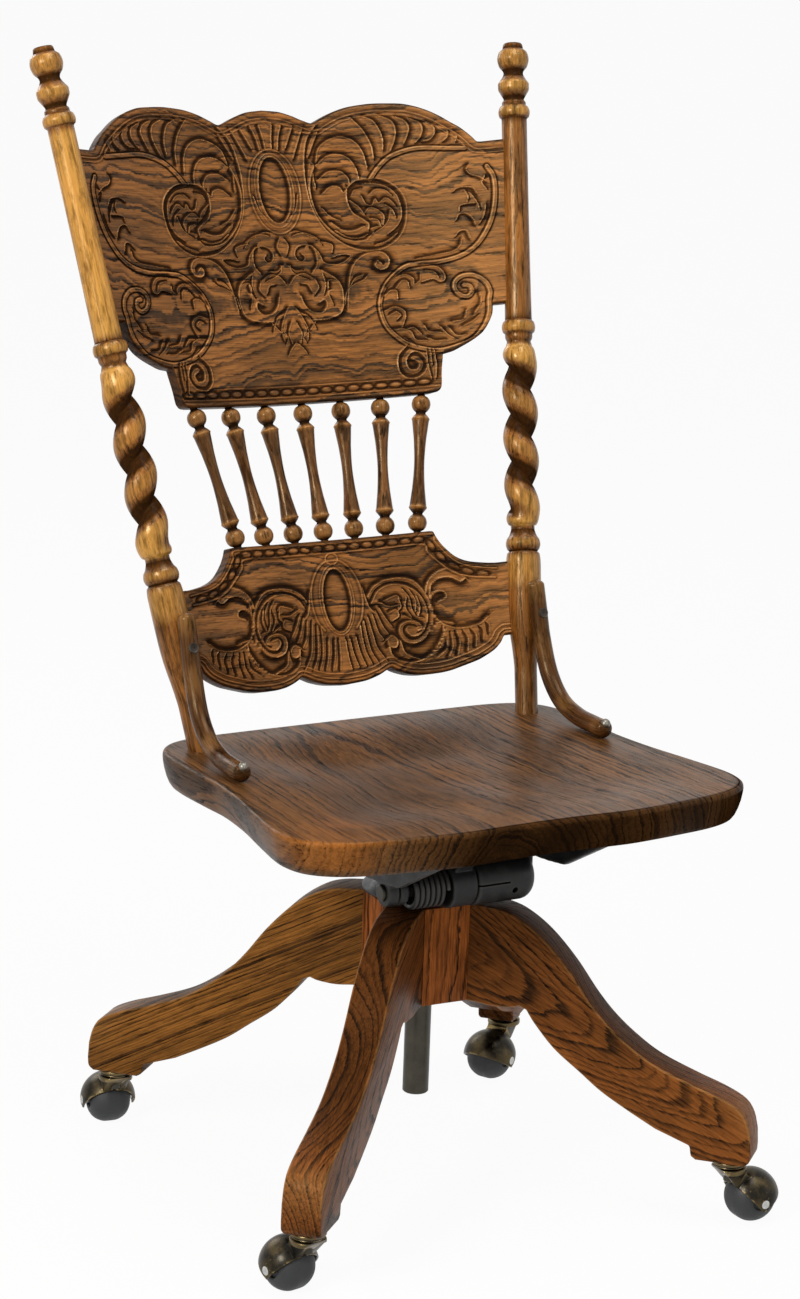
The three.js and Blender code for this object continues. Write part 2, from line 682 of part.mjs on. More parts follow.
// A rail with a bridge in to a hub on the shaft, for the right side of the seat
function rail(hubR, hubInner, hubOuter) {
  const low = RAIL_WEB_SHARES.map(([along, drop]) => [
    RAIL_FRONT_Y + along * railDeep, railTop - drop * railDrop,
  ]);
  const web = sidePlate(
    [[low[0][0], railTop], ...low, [low[low.length - 1][0], railTop]],
    RAIL_X - RAIL_WEB / 2,
    RAIL_X + RAIL_WEB / 2,
  );
  const flange = block(
    RAIL_X - RAIL_FLANGE / 2, RAIL_X + RAIL_FLANGE / 2,
    RAIL_FRONT_Y, RAIL_REAR_Y, railTop - RAIL_FLANGE_THICK, railTop,
  );
  const hangerInner = Math.max(hubInner, hubOuter - 2 * HANGER_DEEP);
  const bridgeTop = railTop - BRIDGE_DROP;
  const bridge = block(
    hangerInner, RAIL_X,
    SHAFT_Y - BRIDGE_DEEP / 2, SHAFT_Y + BRIDGE_DEEP / 2, bridgeTop - BRIDGE_THICK, bridgeTop,
  );
  const hanger = block(
    hangerInner, hubOuter,
    SHAFT_Y - HANGER_DEEP / 2, SHAFT_Y + HANGER_DEEP / 2, SHAFT_Z, bridgeTop - BRIDGE_THICK / 2,
  );
  const hub = crossRod(hubR, hubInner, hubOuter, SHAFT_Y, SHAFT_Z, 20);
  const bore = crossRod(
    SHAFT_R + FIT, hubInner - CUT_OVERRUN, hubOuter + CUT_OVERRUN, SHAFT_Y, SHAFT_Z, 14,
  );
  return cut(joined(web, flange, bridge, hanger, hub), bore);
}

// The right hub is long and split in front, with a hole for its clamp screw
function rightRail() {
  const inner = BARREL_RIGHT + RUNNING;
  const slot = block(
    inner - CUT_OVERRUN, inner + CLAMP_SLOT_LONG,
    SHAFT_Y - CLAMP_HUB_R - CUT_OVERRUN, SHAFT_Y, SHAFT_Z, SHAFT_Z + CLAMP_SLOT,
  );
  const clampHole = rod(CLAMP_HOLE_R, 0, CLAMP_HUB_R, 8)
    .rotateX(Math.PI / 2)
    .translate(inner + CLAMP_SLOT_LONG + 2 * CLAMP_HOLE_R, SHAFT_Y - SHAFT_R - FIT, SHAFT_Z - CLAMP_HUB_R / 3);
  return cut(rail(CLAMP_HUB_R, inner, inner + CLAMP_HUB_LONG), slot, clampHole);
}

function leftRail() {
  const inner = RUNNING - armOuter;
  return mirrored(rail(PLAIN_HUB_R, inner, inner + PLAIN_HUB_LONG));
}

const stopZ = SHAFT_Z + STOP_RISE;
const stopY = SHAFT_Y - STOP_AHEAD;
const stopReach = RAIL_X - RAIL_WEB / 2 - FIT;
const stopBar = block(
  -stopReach, stopReach, stopY - STOP_BAR_DEEP / 2, stopY + STOP_BAR_DEEP / 2, stopZ, stopZ + STOP_BAR_HIGH,
);
const shaftLeft = armOuter - RUNNING - PLAIN_HUB_LONG - SHAFT_OVERHANG;
const shaftRight = BARREL_RIGHT + RUNNING + CLAMP_HUB_LONG + SHAFT_OVERHANG;
seatFrame.add(piece('right_seat_rail', rightRail(), BLACK_IRON));
seatFrame.add(piece('left_seat_rail', leftRail(), BLACK_IRON));
seatFrame.add(piece('tilt_stop_bar', welded(stopBar), BLACK_IRON));
seatFrame.add(piece('cross_shaft', crossRod(SHAFT_R, shaftLeft, shaftRight, SHAFT_Y, SHAFT_Z, 14), STEEL));

// Tilt iron that swivels: the spindle head with its two bearings, and the spring between them

const plateTop = LEG_TOP + FIT + PLATE_THICK;
const nutBottom = plateTop + FIT;
const headBottom = nutBottom + NUT_HIGH + FIT;
const headTop = headBottom + BOSS_HIGH;
const screwTop = headTop - CUT_OVERRUN;
const bellBottom = plateTop + RUNNING;

// The bell over the nut, hollow from below, with a hollow in front for the shaft's pieces
function bell() {
  const top = bellBottom + BELL_HIGH;
  const skin = turnedRing([
    [BELL_R - BELL_WALL, bellBottom], [BELL_R, bellBottom], [BELL_R, bellBottom + BELL_RIM],
    [BELL_SHOULDER_R, top], [0.75 * BOSS_R, top + BELL_RIM], [0.75 * BOSS_R, top - BELL_WALL],
    [BELL_SHOULDER_R - BELL_WALL / 2, top - BELL_WALL],
  ], 24);
  const room = RUNNING + FIT;
  const springRoom = crossRod(
    SPRING_R + SPRING_WIRE_R + room, armOuter, BARREL_LEFT, SHAFT_Y, SHAFT_Z, 20,
  );
  const hubRoom = crossRod(CLAMP_HUB_R + room, BARREL_RIGHT, 2 * BELL_R, SHAFT_Y, SHAFT_Z, 20);
  return cut(skin, springRoom, hubRoom);
}

function spindleHead() {
  const boss = rod(BOSS_R, headBottom, headTop, 20);
  const beamFront = SHAFT_Y + BEAM_BACK - BEAM_DEEP;
  const beamBottom = headTop - BEAM_HIGH;
  const beam = block(armOuter, BARREL_RIGHT, beamFront, SHAFT_Y + BEAM_BACK, beamBottom, headTop);
  const barrel = crossRod(BARREL_R, BARREL_LEFT, BARREL_RIGHT, SHAFT_Y, SHAFT_Z, 20);
  const inset = BELL_WALL / 2;
  const barrelWeb = block(
    BARREL_LEFT + inset, BARREL_RIGHT - inset,
    SHAFT_Y, beamFront + inset, beamBottom - inset, SHAFT_Z + BARREL_R - inset,
  );
  const armEye = crossRod(ARM_R, armOuter, armInner, SHAFT_Y, SHAFT_Z, 20);
  const arm = sidePlate(
    [
      [SHAFT_Y, SHAFT_Z - ARM_R * 0.95], [beamFront + inset, beamBottom],
      [beamFront + inset, headTop], [SHAFT_Y, SHAFT_Z + ARM_R * 0.95],
    ],
    armOuter, armInner,
  );
  const noseMiddle = (BARREL_LEFT + BARREL_RIGHT) / 2;
  const nose = sidePlate(
    [
      [SHAFT_Y, SHAFT_Z + BARREL_R - inset], [SHAFT_Y - BARREL_R / 2, SHAFT_Z + BARREL_R / 2],
      [stopY - STOP_BAR_DEEP / 2, stopZ - FIT - NOSE_THICK], [stopY - STOP_BAR_DEEP / 2, stopZ - FIT],
      [stopY + STOP_BAR_DEEP / 2, stopZ - FIT],
    ],
    noseMiddle - NOSE_WIDE / 2, noseMiddle + NOSE_WIDE / 2,
  );
  const bore = crossRod(
    SHAFT_R + FIT, armOuter - CUT_OVERRUN, BARREL_RIGHT + CUT_OVERRUN, SHAFT_Y, SHAFT_Z, 14,
  );
  const socket = rod(SCREW_R + FIT, bellBottom, screwTop + FIT, 12);
  return cut(joined(boss, bell(), beam, barrel, barrelWeb, armEye, arm, nose), bore, socket);
}

// Torsion spring round the shaft: its left end turns in to the shaft, its right end runs to the barrel
function springPath() {
  const points = [];
  const stepsPerTurn = 8;
  const steps = SPRING_TURNS * stepsPerTurn;
  const left = (armInner + BARREL_LEFT - SPRING_TURNS * SPRING_PITCH) / 2;
  for (let i = 0; i <= steps; i++) {
    const angle = (i / stepsPerTurn) * 2 * Math.PI;
    const turnedIn = THREE.MathUtils.smoothstep(stepsPerTurn / 2 - i, 0, stepsPerTurn / 2);
    const r = SPRING_R - (SPRING_R - SHAFT_R - SPRING_WIRE_R - RUNNING) * turnedIn;
    const along = left + (SPRING_PITCH * i) / stepsPerTurn;
    points.push(vec3(along, SHAFT_Y + r * Math.cos(angle), SHAFT_Z + r * Math.sin(angle)));
  }
  return points;
}

function springRings(points) {
  const sides = 5;
  return points.map((p, i) => {
    const before = points[Math.max(0, i - 1)];
    const after = points[Math.min(points.length - 1, i + 1)];
    const along = after.clone().sub(before).normalize();
    const out = vec3(0, p.y - SHAFT_Y, p.z - SHAFT_Z).normalize();
    const side = along.clone().cross(out).normalize();
    const up = side.clone().cross(along);
    const ring = [];
    for (let k = 0; k < sides; k++) {
      const angle = (k / sides) * 2 * Math.PI;
      ring.push(
        p.clone()
          .addScaledVector(up, SPRING_WIRE_R * Math.cos(angle))
          .addScaledVector(side, SPRING_WIRE_R * Math.sin(angle)),
      );
    }
    return ring;
  });
}

// A hexagonal nut, round in its bore, that carries the head on the plate
function heightNut() {
  const blank = rod(NUT_R, nutBottom, nutBottom + NUT_HIGH, 6);
  return cut(blank, rod(SCREW_R + FIT, nutBottom - CUT_OVERRUN, nutBottom + NUT_HIGH + CUT_OVERRUN, 16));
}

const springPoints = springPath();
const head = new THREE.Group();
head.add(piece('spindle_head', spindleHead(), BLACK_IRON));
head.add(piece('tilt_spring', lofted(springRings(springPoints)), BLACK_IRON));
head.add(piece('spindle_screw', rod(SCREW_R, SCREW_BOTTOM, screwTop, 12), STEEL));
head.add(piece('height_nut', heightNut(), BLACK_IRON));

// Base

const base = new THREE.Group();
base.rotation.z = radians(BASE_TURN_DEG);
const hubR = TUBE_R - TUBE_WALL;
const plateBottom = LEG_TOP + FIT;
base.add(piece('hub_plate', turnedRing([
  [hubR, plateBottom], [PLATE_R, plateBottom], [PLATE_R, plateTop], [hubR, plateTop],
], 20), BLACK_IRON));
base.add(piece('guide_tube', turnedRing([
  [hubR, TUBE_BOTTOM], [TUBE_R - TUBE_EASE, TUBE_BOTTOM], [TUBE_R, TUBE_BOTTOM + TUBE_EASE],
  [TUBE_R, LEG_TOP], [hubR, LEG_TOP],
], 14), STEEL));

const casterStemRadius = LEG_REACH - CASTER_STEM_INSET;
// Side outline of a leg: shares of its reach and of its height above the pad's underside
const LEG_TOP_SHARES = [
  [0.177, 1], [0.251, 0.987], [0.307, 0.956], [0.375, 0.884], [0.448, 0.769], [0.513, 0.64], [0.569, 0.547],
  [0.634, 0.467], [0.708, 0.398], [0.811, 0.338], [0.9, 0.293], [0.959, 0.249], [0.985, 0.196], [0.997, 0.129],
];
const LEG_TOE_SHARES = [[1, 0.06], [0.997, 0.02], [0.982, 0], [0.844, 0], [0.829, 0.013], [0.8245, 0.058]];
const LEG_UNDER_SHARES = [
  [0.723, 0.111], [0.634, 0.18], [0.56, 0.244], [0.496, 0.316], [0.419, 0.404], [0.36, 0.502], [0.333, 0.56],
];
const LEG_HEEL_SHARES = [[0.313, 0.573], [0.289, 0.562], [0.236, 0.556], [0.183, 0.564], [0, 0.578]];

function legOutline() {
  const place = ([along, up]) => vec2(along * LEG_REACH, PAD_BOTTOM + up * (LEG_TOP - PAD_BOTTOM));
  const top = new THREE.SplineCurve(LEG_TOP_SHARES.map(place)).getPoints(15);
  const under = new THREE.SplineCurve(LEG_UNDER_SHARES.map(place)).getPoints(8);
  return [vec2(0, LEG_TOP), ...top, ...LEG_TOE_SHARES.map(place), ...under, ...LEG_HEEL_SHARES.map(place)];
}

function leg() {
  const half = LEG_THICK / 2;
  const board = new THREE.ExtrudeGeometry(new THREE.Shape(legOutline()), {
    depth: LEG_THICK - 2 * LEG_EDGE_EASE,
    bevelSize: LEG_EDGE_EASE,
    bevelOffset: -LEG_EDGE_EASE,
    bevelThickness: LEG_EDGE_EASE,
    bevelSegments: 1,
  });
  board.rotateX(Math.PI / 2).translate(0, half - LEG_EDGE_EASE, 0);
  const reach = LEG_REACH + CUT_OVERRUN;
  const tip = FIT / Math.SQRT2;
  const mitre = new THREE.Shape([
    vec2(tip, 0), vec2(half + tip, -half), vec2(half + tip, -LEG_THICK), vec2(reach, -LEG_THICK),
    vec2(reach, LEG_THICK), vec2(half + tip, LEG_THICK), vec2(half + tip, half),
  ]);
  const room = new THREE.ExtrudeGeometry(mitre, { depth: LEG_TOP + CUT_OVERRUN, bevelEnabled: false });
  const mitred = solidOf(board).intersect(solidOf(room));
  const bore = solidOf(rod(HUB_BORE_R, 0, LEG_TOP + CUT_OVERRUN, 16));
  const socket = solidOf(
    rod(SOCKET_R + FIT, 0, PAD_BOTTOM + SOCKET_LONG + FIT, 12).translate(casterStemRadius, 0, 0),
  );
  return geometryOf(mitred.subtract(bore).subtract(socket));
}

function hubBlock() {
  const inner = LEG_THICK / 2 + FIT;
  const shape = new THREE.Shape([vec2(inner, inner), vec2(BLOCK_REACH, inner), vec2(inner, BLOCK_REACH)]);
  const deep = LEG_TOP - BLOCK_BOTTOM;
  const prism = new THREE.ExtrudeGeometry(shape, { depth: deep, bevelEnabled: false });
  return welded(prism.translate(0, 0, BLOCK_BOTTOM));
}

// Casters

const wheelZ = WHEEL_R * Math.cos(Math.PI / WHEEL_SIDES);
const flangeTop = PAD_BOTTOM - FIT;
const flangeBottom = flangeTop - FLANGE_THICK;
const collarTop = flangeBottom - RUNNING;
const collarBottom = collarTop - COLLAR_THICK;
// Side outline of the hood's neck: shares of the trail, and of the height from the axle to the collar
const NECK_SHARES = [
  [-0.483, 1.03], [-0.414, 0.86], [-0.172, 0.68], [0.172, 0.525], [0.414, 0.42], [0.9, 0.3], [1.07, 0.69],
  [0.79, 0.77], [0.55, 0.886], [0.483, 1.03],
];

function casterSocket() {
  const inner = STEM_R + FIT;
  return turnedRing([
    [inner, flangeBottom], [COLLAR_R - COLLAR_EASE, flangeBottom], [COLLAR_R, flangeTop], [SOCKET_R, flangeTop],
    [SOCKET_R, PAD_BOTTOM + SOCKET_LONG], [inner, PAD_BOTTOM + SOCKET_LONG],
  ], 12);
}

function casterHood() {
  const at = (geometry) => geometry.translate(CASTER_TRAIL, 0, wheelZ);
  const outer = at(new THREE.SphereGeometry(HOOD_R, 16, 9));
  const inner = at(new THREE.SphereGeometry(HOOD_R - HOOD_WALL, 16, 9));
  const wide = 2 * HOOD_R;
  const openAhead = at(block(-wide, -HOOD_SKIRT, -wide, wide, -wide, wide).rotateY(-radians(HOOD_TILT_DEG)));
  const openBehind = at(block(HOOD_SKIRT, wide, -wide, wide, -wide, wide).rotateY(radians(HOOD_TAIL_DEG)));
  const neckShape = new THREE.Shape(
    NECK_SHARES.map(([along, up]) => vec2(along * CASTER_TRAIL, wheelZ + up * (collarBottom - wheelZ))),
  );
  const neck = new THREE.ExtrudeGeometry(neckShape, { depth: 2 * NECK_HALF_WIDE, bevelEnabled: false });
  neck.rotateX(Math.PI / 2).translate(0, NECK_HALF_WIDE, 0);
  const collar = turned(
    [[COLLAR_R - COLLAR_EASE, collarBottom], [COLLAR_R, collarBottom + COLLAR_EASE], [COLLAR_R, collarTop]], 16,
  );
  const stemHole = rod(STEM_R + FIT, wheelZ, collarTop + CUT_OVERRUN, 12);
  const axleHole = rod(AXLE_R + FIT, -wide, wide, 10).rotateX(Math.PI / 2);
  return cut(joined(outer, neck, collar), inner, openAhead, openBehind, stemHole, at(axleHole));
}

// From a wheel's side to its tread: shares of its radius and of its half width
const WHEEL_SHARES = [[0.389, 1], [0.77, 0.771], [1, 0.268]];

// A fat tread with a flat band, turned so that one flat lies on the floor
function casterWheel() {
  const half = WHEEL_SHARES.map(([r, y]) => [r * WHEEL_R, y * WHEEL_HALF_WIDE]);
  const bore = AXLE_R + FIT;
  const outline = [
    [bore, -WHEEL_HALF_WIDE], ...half.map(([r, y]) => [r, -y]), ...[...half].reverse(),
    [bore, WHEEL_HALF_WIDE], [bore, -WHEEL_HALF_WIDE],
  ].map(([r, y]) => vec2(r, y));
  return welded(new THREE.LatheGeometry(outline, WHEEL_SIDES, Math.PI / WHEEL_SIDES, 2 * Math.PI));
}

const stemBottom = collarBottom - 2 * STEM_R;
for (let k = 0; k < LEG_COUNT; k++) {
  const arm = new THREE.Group();
  arm.rotation.z = (k / LEG_COUNT) * 2 * Math.PI;
  arm.add(piece(`leg_${k + 1}`, leg(), OAK_BASE));
  arm.add(piece(`hub_block_${k + 1}`, hubBlock(), OAK_BASE));
  const caster = new THREE.Group();
  caster.position.x = casterStemRadius;
  caster.rotation.z = radians(CASTER_TRAIL_DEG[k] - BASE_TURN_DEG) - arm.rotation.z;
  caster.add(piece(`caster_socket_${k + 1}`, casterSocket(), BRONZE));
  caster.add(piece(`caster_stem_${k + 1}`, rod(STEM_R, stemBottom, stemBottom + STEM_LONG, 10), STEEL));
  caster.add(piece(`caster_hood_${k + 1}`, casterHood(), BRONZE));
  const axle = rod(AXLE_R, -HOOD_R - RUNNING, HOOD_R + RUNNING, 10).rotateX(Math.PI / 2);
  caster.add(piece(`caster_axle_${k + 1}`, axle.translate(CASTER_TRAIL, 0, wheelZ), BRIGHT));
  const wheel = piece(`caster_wheel_${k + 1}`, casterWheel(), BLACK_TREAD);
  wheel.position.set(CASTER_TRAIL, 0, wheelZ);
  caster.add(wheel);
  arm.add(caster);
  base.add(arm);
}

// The whole chair, with the middle of its box over the origin
const chair = new THREE.Group();
chair.add(base, head, seatFrame);
chair.updateMatrixWorld(true);
const middle = new THREE.Box3().setFromObject(chair, true).getCenter(vec3(0, 0, 0));
chair.position.set(-middle.x, -middle.y, 0);

export default chair;
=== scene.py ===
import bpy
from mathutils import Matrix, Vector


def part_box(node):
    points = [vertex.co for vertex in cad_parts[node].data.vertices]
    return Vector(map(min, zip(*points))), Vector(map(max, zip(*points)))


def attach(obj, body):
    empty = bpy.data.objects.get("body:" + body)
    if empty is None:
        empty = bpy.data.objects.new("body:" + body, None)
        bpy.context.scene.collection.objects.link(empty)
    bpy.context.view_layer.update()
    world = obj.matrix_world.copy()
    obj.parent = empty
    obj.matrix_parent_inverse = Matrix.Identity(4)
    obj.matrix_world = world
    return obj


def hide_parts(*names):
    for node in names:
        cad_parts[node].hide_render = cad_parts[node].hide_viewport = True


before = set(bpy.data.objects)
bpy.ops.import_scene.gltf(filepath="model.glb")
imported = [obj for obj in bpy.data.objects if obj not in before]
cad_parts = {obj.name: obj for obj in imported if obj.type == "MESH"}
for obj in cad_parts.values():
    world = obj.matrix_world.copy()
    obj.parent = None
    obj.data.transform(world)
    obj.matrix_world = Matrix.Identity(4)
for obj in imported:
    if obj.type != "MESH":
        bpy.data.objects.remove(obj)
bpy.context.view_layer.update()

# An oak office chair: carved panels between barley-twist posts, a saddle seat and a four-legged swivel base.
# Lengths in the code are millimetres until a mesh is made; Blender's are metres.
import math

import bmesh
import bpy
import numpy as np
from mathutils import Matrix, Vector

MM = 0.001
spindle_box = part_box("spindle_screw")
SPIN_Y = (spindle_box[0][1] + spindle_box[1][1]) / 2 / MM

# Sizes that the solids share
SEAT_TOP, SEAT_THICK, SEAT_HALF_WIDE = 423, 34, 245
SEAT_BACK_Y, SEAT_FRONT_Y, SEAT_MIDDLE_Y = 163, -227, -30
SEAT_UNDERCUT, SEAT_DISH, SEAT_POMMEL = 9, 11, 7
BACK_Y, BACK_RAKE = 116.5, math.radians(17.56)
POST_FOOT_X, POST_SPLAY, POST_LONG, POST_R = 184.1, 0.1157, 684.5, 17.5
TWIST_BOTTOM, TWIST_TOP, TWIST_PITCH, TWIST_R, TWIST_NECK_R = 188, 372, 48.5, 18, 12
BASE_TURN, LEG_REACH, LEG_THICK, LEG_TOP, PAD_BOTTOM = -47.8, 339, 38, 291, 66
SHAFT_Y, SHAFT_Z, SHAFT_R = -60, 317.5, 8
WHEEL_R = 24.4 * math.cos(math.pi / 16)
WHEEL_HALF_WIDE, HOOD_R, HOOD_WALL, TRAIL = 20.5, 27.8, 1.6, 26
TRAIL_DEG = [-1, 207, 81, 101]


# Small tools

def rows(points):
    return np.asarray(points, dtype=float)


def unit(v):
    return v / np.linalg.norm(v, axis=-1, keepdims=True)


def smoothstep(low, high, x):
    t = np.clip((x - low) / (high - low), 0, 1)
    return t * t * (3 - 2 * t)


def monotone(xs, ys, at):
    """A smooth curve through (xs, ys) that doesn't overshoot."""
    xs, ys, at = map(rows, (xs, ys, at))
    h = np.diff(xs)
    slope = np.diff(ys) / h
    same = slope[:-1] * slope[1:] > 0
    w1, w2 = 2 * h[1:] + h[:-1], h[1:] + 2 * h[:-1]
    safe = np.where(same, slope[:-1], 1), np.where(same, slope[1:], 1)
    inner = np.where(same, (w1 + w2) / (w1 / safe[0] + w2 / safe[1]), 0)
    m = np.concatenate([[slope[0]], inner, [slope[-1]]])
    k = np.clip(np.searchsorted(xs, at) - 1, 0, len(h) - 1)
    t = (at - xs[k]) / h[k]
    return (
        ys[k] * (1 + 2 * t) * (1 - t) ** 2 + m[k] * h[k] * t * (1 - t) ** 2
        + ys[k + 1] * t * t * (3 - 2 * t) + m[k + 1] * h[k] * t * t * (t - 1)
    )


def through(points, spacing, closed=False):
    """A curve through the points, as evenly spaced points."""
    p = rows(points)
    p = np.vstack([p[-1], p, p[0], p[1]]) if closed else np.vstack([2 * p[0] - p[1], p, 2 * p[-1] - p[-2]])
    out = []
    for a, b, c, d in zip(p, p[1:], p[2:], p[3:]):
        n = max(2, int(np.linalg.norm(c - b) / spacing * 3))
        t = np.linspace(0, 1, n, endpoint=False)[:, None]
        out.append(0.5 * (2 * b + (c - a) * t + (2 * a - 5 * b + 4 * c - d) * t**2 + (3 * b - a - 3 * c + d) * t**3))
    out.append(p[-2][None] if not closed else p[1][None])
    return evenly(np.vstack(out), spacing)


def evenly(line, spacing):
    far = np.concatenate([[0], np.cumsum(np.linalg.norm(np.diff(line, axis=0), axis=1))])
    n = max(2, int(round(far[-1] / spacing)) + 1)
    at = np.linspace(0, far[-1], n)
    return np.stack([np.interp(at, far, line[:, k]) for k in range(line.shape[1])], 1)


def skin(grid, wrap=True, loop=False, cap=True):
    """(corners, faces) over rows of points. wrap closes each row, loop joins the last row to the first."""
    count, width = grid.shape[:2]
    i = np.arange(count if loop else count - 1)[:, None]
    j = np.arange(width if wrap else width - 1)[None, :]
    k, n = (j + 1) % width, (i + 1) % count
    faces = np.stack(np.broadcast_arrays(i * width + j, i * width + k, n * width + k, n * width + j), -1)
    faces = faces.reshape(-1, 4).tolist()
    if cap and not loop:
        faces += [list(range(width))[::-1], list(range((count - 1) * width, count * width))]
    return grid.reshape(-1, 3), faces


def lathe(profile, sides=64, loop=False):
    """A turned solid about Z from [radius, height] pairs."""
    p = rows(profile)
    a = np.arange(sides) / sides * 2 * math.pi
    ring = np.stack([np.cos(a), np.sin(a)], 1)
    grid = np.concatenate([p[:, None, :1] * ring[None], np.broadcast_to(p[:, None, 1:], (len(p), sides, 1))], 2)
    return skin(grid, loop=loop)


def sweep(line, radii, sides, up=(0, 0, 1)):
    """A round bar along a line, thick as radii says at each point."""
    tangent = unit(np.gradient(line, axis=0))
    side = unit(np.cross(tangent, rows(up)))
    other = np.cross(side, tangent)
    a = np.arange(sides) / sides * 2 * math.pi
    r = rows(radii)[:, None, None]
    grid = line[:, None] + r * (np.cos(a)[None, :, None] * side[:, None] + np.sin(a)[None, :, None] * other[:, None])
    return skin(grid)


def box(x0, x1, y0, y1, z0, z1):
    v = rows([[x, y, z] for z in (z0, z1) for x, y in ((x0, y0), (x1, y0), (x1, y1), (x0, y1))])
    return v, [[3, 2, 1, 0], [4, 5, 6, 7], [0, 1, 5, 4], [1, 2, 6, 5], [2, 3, 7, 6], [3, 0, 4, 7]]


def prism(outline, low, high):
    """A flat outline carried from low to high along Z."""
    o = rows(outline)
    grid = np.stack([np.column_stack([o, np.full(len(o), z)]) for z in (low, high)])
    return skin(grid)


def moved(solid, rotate=None, shift=(0, 0, 0)):
    v, faces = solid
    v = v if rotate is None else v @ rows(rotate).T
    return v + rows(shift), faces


def turn(axis, degrees):
    return np.array(Matrix.Rotation(math.radians(degrees), 3, axis))


ALONG_X = rows([[0, 0, 1], [1, 0, 0], [0, 1, 0]])


def on_shaft(solid):
    """From Z to the axis of the tilt shaft."""
    return moved(solid, ALONG_X, (0, SHAFT_Y, SHAFT_Z))


def cross_rod(radius, left, right, sides=64, ease=1.0):
    """A rod along X on the tilt shaft's axis."""
    profile = [[radius - ease, left], [radius, left + ease], [radius, right - ease], [radius - ease, right]]
    return on_shaft(lathe(profile, sides))


def linked(name, data):
    obj = bpy.data.objects.new(name, data)
    bpy.context.scene.collection.objects.link(obj)
    return obj


def scratch(name, solid):
    v, faces = solid
    mesh = bpy.data.meshes.new(name)
    mesh.from_pydata((v * MM).tolist(), [], faces)
    work = bmesh.new()
    work.from_mesh(mesh)
    bmesh.ops.recalc_face_normals(work, faces=work.faces)
    work.to_mesh(mesh)
    work.free()
    return linked(name, mesh)


def together(*solids):
    corners, faces, start = [], [], 0
    for v, f in solids:
        corners.append(v)
        faces += [[start + i for i in face] for face in f]
        start += len(v)
    return np.vstack(corners), faces


def applied(obj):
    """Gives the object the mesh that its modifiers make, and drops them."""
    bpy.context.view_layer.update()
    shown = obj.evaluated_get(bpy.context.evaluated_depsgraph_get())
    mesh = bpy.data.meshes.new_from_object(shown)
    obj.modifiers.clear()
    old, obj.data = obj.data, mesh
    bpy.data.meshes.remove(old)
    return obj


def cut(obj, *tools, operation="DIFFERENCE"):
    cutters = []
    for tool in tools:
        cutter = scratch("cutter", tool)
        step = obj.modifiers.new("cut", "BOOLEAN")
        step.operation, step.object, step.solver = operation, cutter, "MANIFOLD"
        cutters.append(cutter)
    applied(obj)
    for cutter in cutters:
        bpy.data.objects.remove(cutter)
    return obj


def cast(name, solid, voxel, smooth):
    """Overlapping solids run together into one casting with soft edges."""
    obj = scratch(name, solid)
    melt = obj.modifiers.new("melt", "REMESH")
    melt.mode, melt.voxel_size = "VOXEL", voxel * MM
    soft = obj.modifiers.new("soft", "SMOOTH")
    soft.factor, soft.iterations = 0.5, smooth
    return applied(obj)


def corners_of(obj):
    v = np.empty(len(obj.data.vertices) * 3)
    obj.data.vertices.foreach_get("co", v)
    return v.reshape(-1, 3) / MM


def put_corners(obj, v):
    obj.data.vertices.foreach_set("co", (v * MM).ravel())
    obj.data.update()


def eased(obj, width, segments, degrees=30):
    """Rounds the edges that turn by more than degrees."""
    ease = obj.modifiers.new("ease", "BEVEL")
    ease.width, ease.segments = width * MM, segments
    ease.limit_method, ease.angle_limit = "ANGLE", math.radians(degrees)
    return applied(obj)


def finish_piece(obj, body, nodes, slot, material, wood=None, tone=None, sharp=35):
    """Gives a piece its material, its wood coordinates in metres and its tone, and fixes it to its body."""
    mesh = obj.data
    mesh.materials.clear()
    mesh.materials.append(material)
    mesh.shade_smooth()
    mesh.set_sharp_from_angle(angle=math.radians(sharp))
    if wood is not None:
        grain = mesh.attributes.new("wood", "FLOAT_VECTOR", "POINT")
        grain.data.foreach_set("vector", (rows(wood) * MM).ravel())
        shade = mesh.attributes.new("tone", "FLOAT", "POINT")
        values = np.zeros(len(mesh.vertices)) if tone is None else rows(tone)
        shade.data.foreach_set("value", values.ravel())
    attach(obj, body)
    if nodes:
        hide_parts(*nodes)
    return obj


def piece(name, solid, body, nodes, slot, material, **more):
    return finish_piece(scratch(name, solid), body, nodes, slot, material, **more)


def place(v, spin=0.0, at=(0, 0)):
    """From a frame about the spindle, in millimetres, to the chair's."""
    a = math.radians(spin)
    c, s = math.cos(a), math.sin(a)
    x, y = v[:, 0] + at[0], v[:, 1] + at[1]
    return np.column_stack([c * x - s * y, s * x + c * y + SPIN_Y, v[:, 2]])


def about_spindle(solid):
    v, faces = solid
    return v + [0, SPIN_Y, 0], faces


def from_back(u, w, v):
    """From the plane of the back: across, to the rear and up along it."""
    s, c = math.sin(BACK_RAKE), math.cos(BACK_RAKE)
    return np.stack([u, SPIN_Y + BACK_Y + v * s + w * c, SEAT_TOP + v * c - w * s], -1)


def post_x(v):
    return POST_FOOT_X + POST_SPLAY * v


# Materials

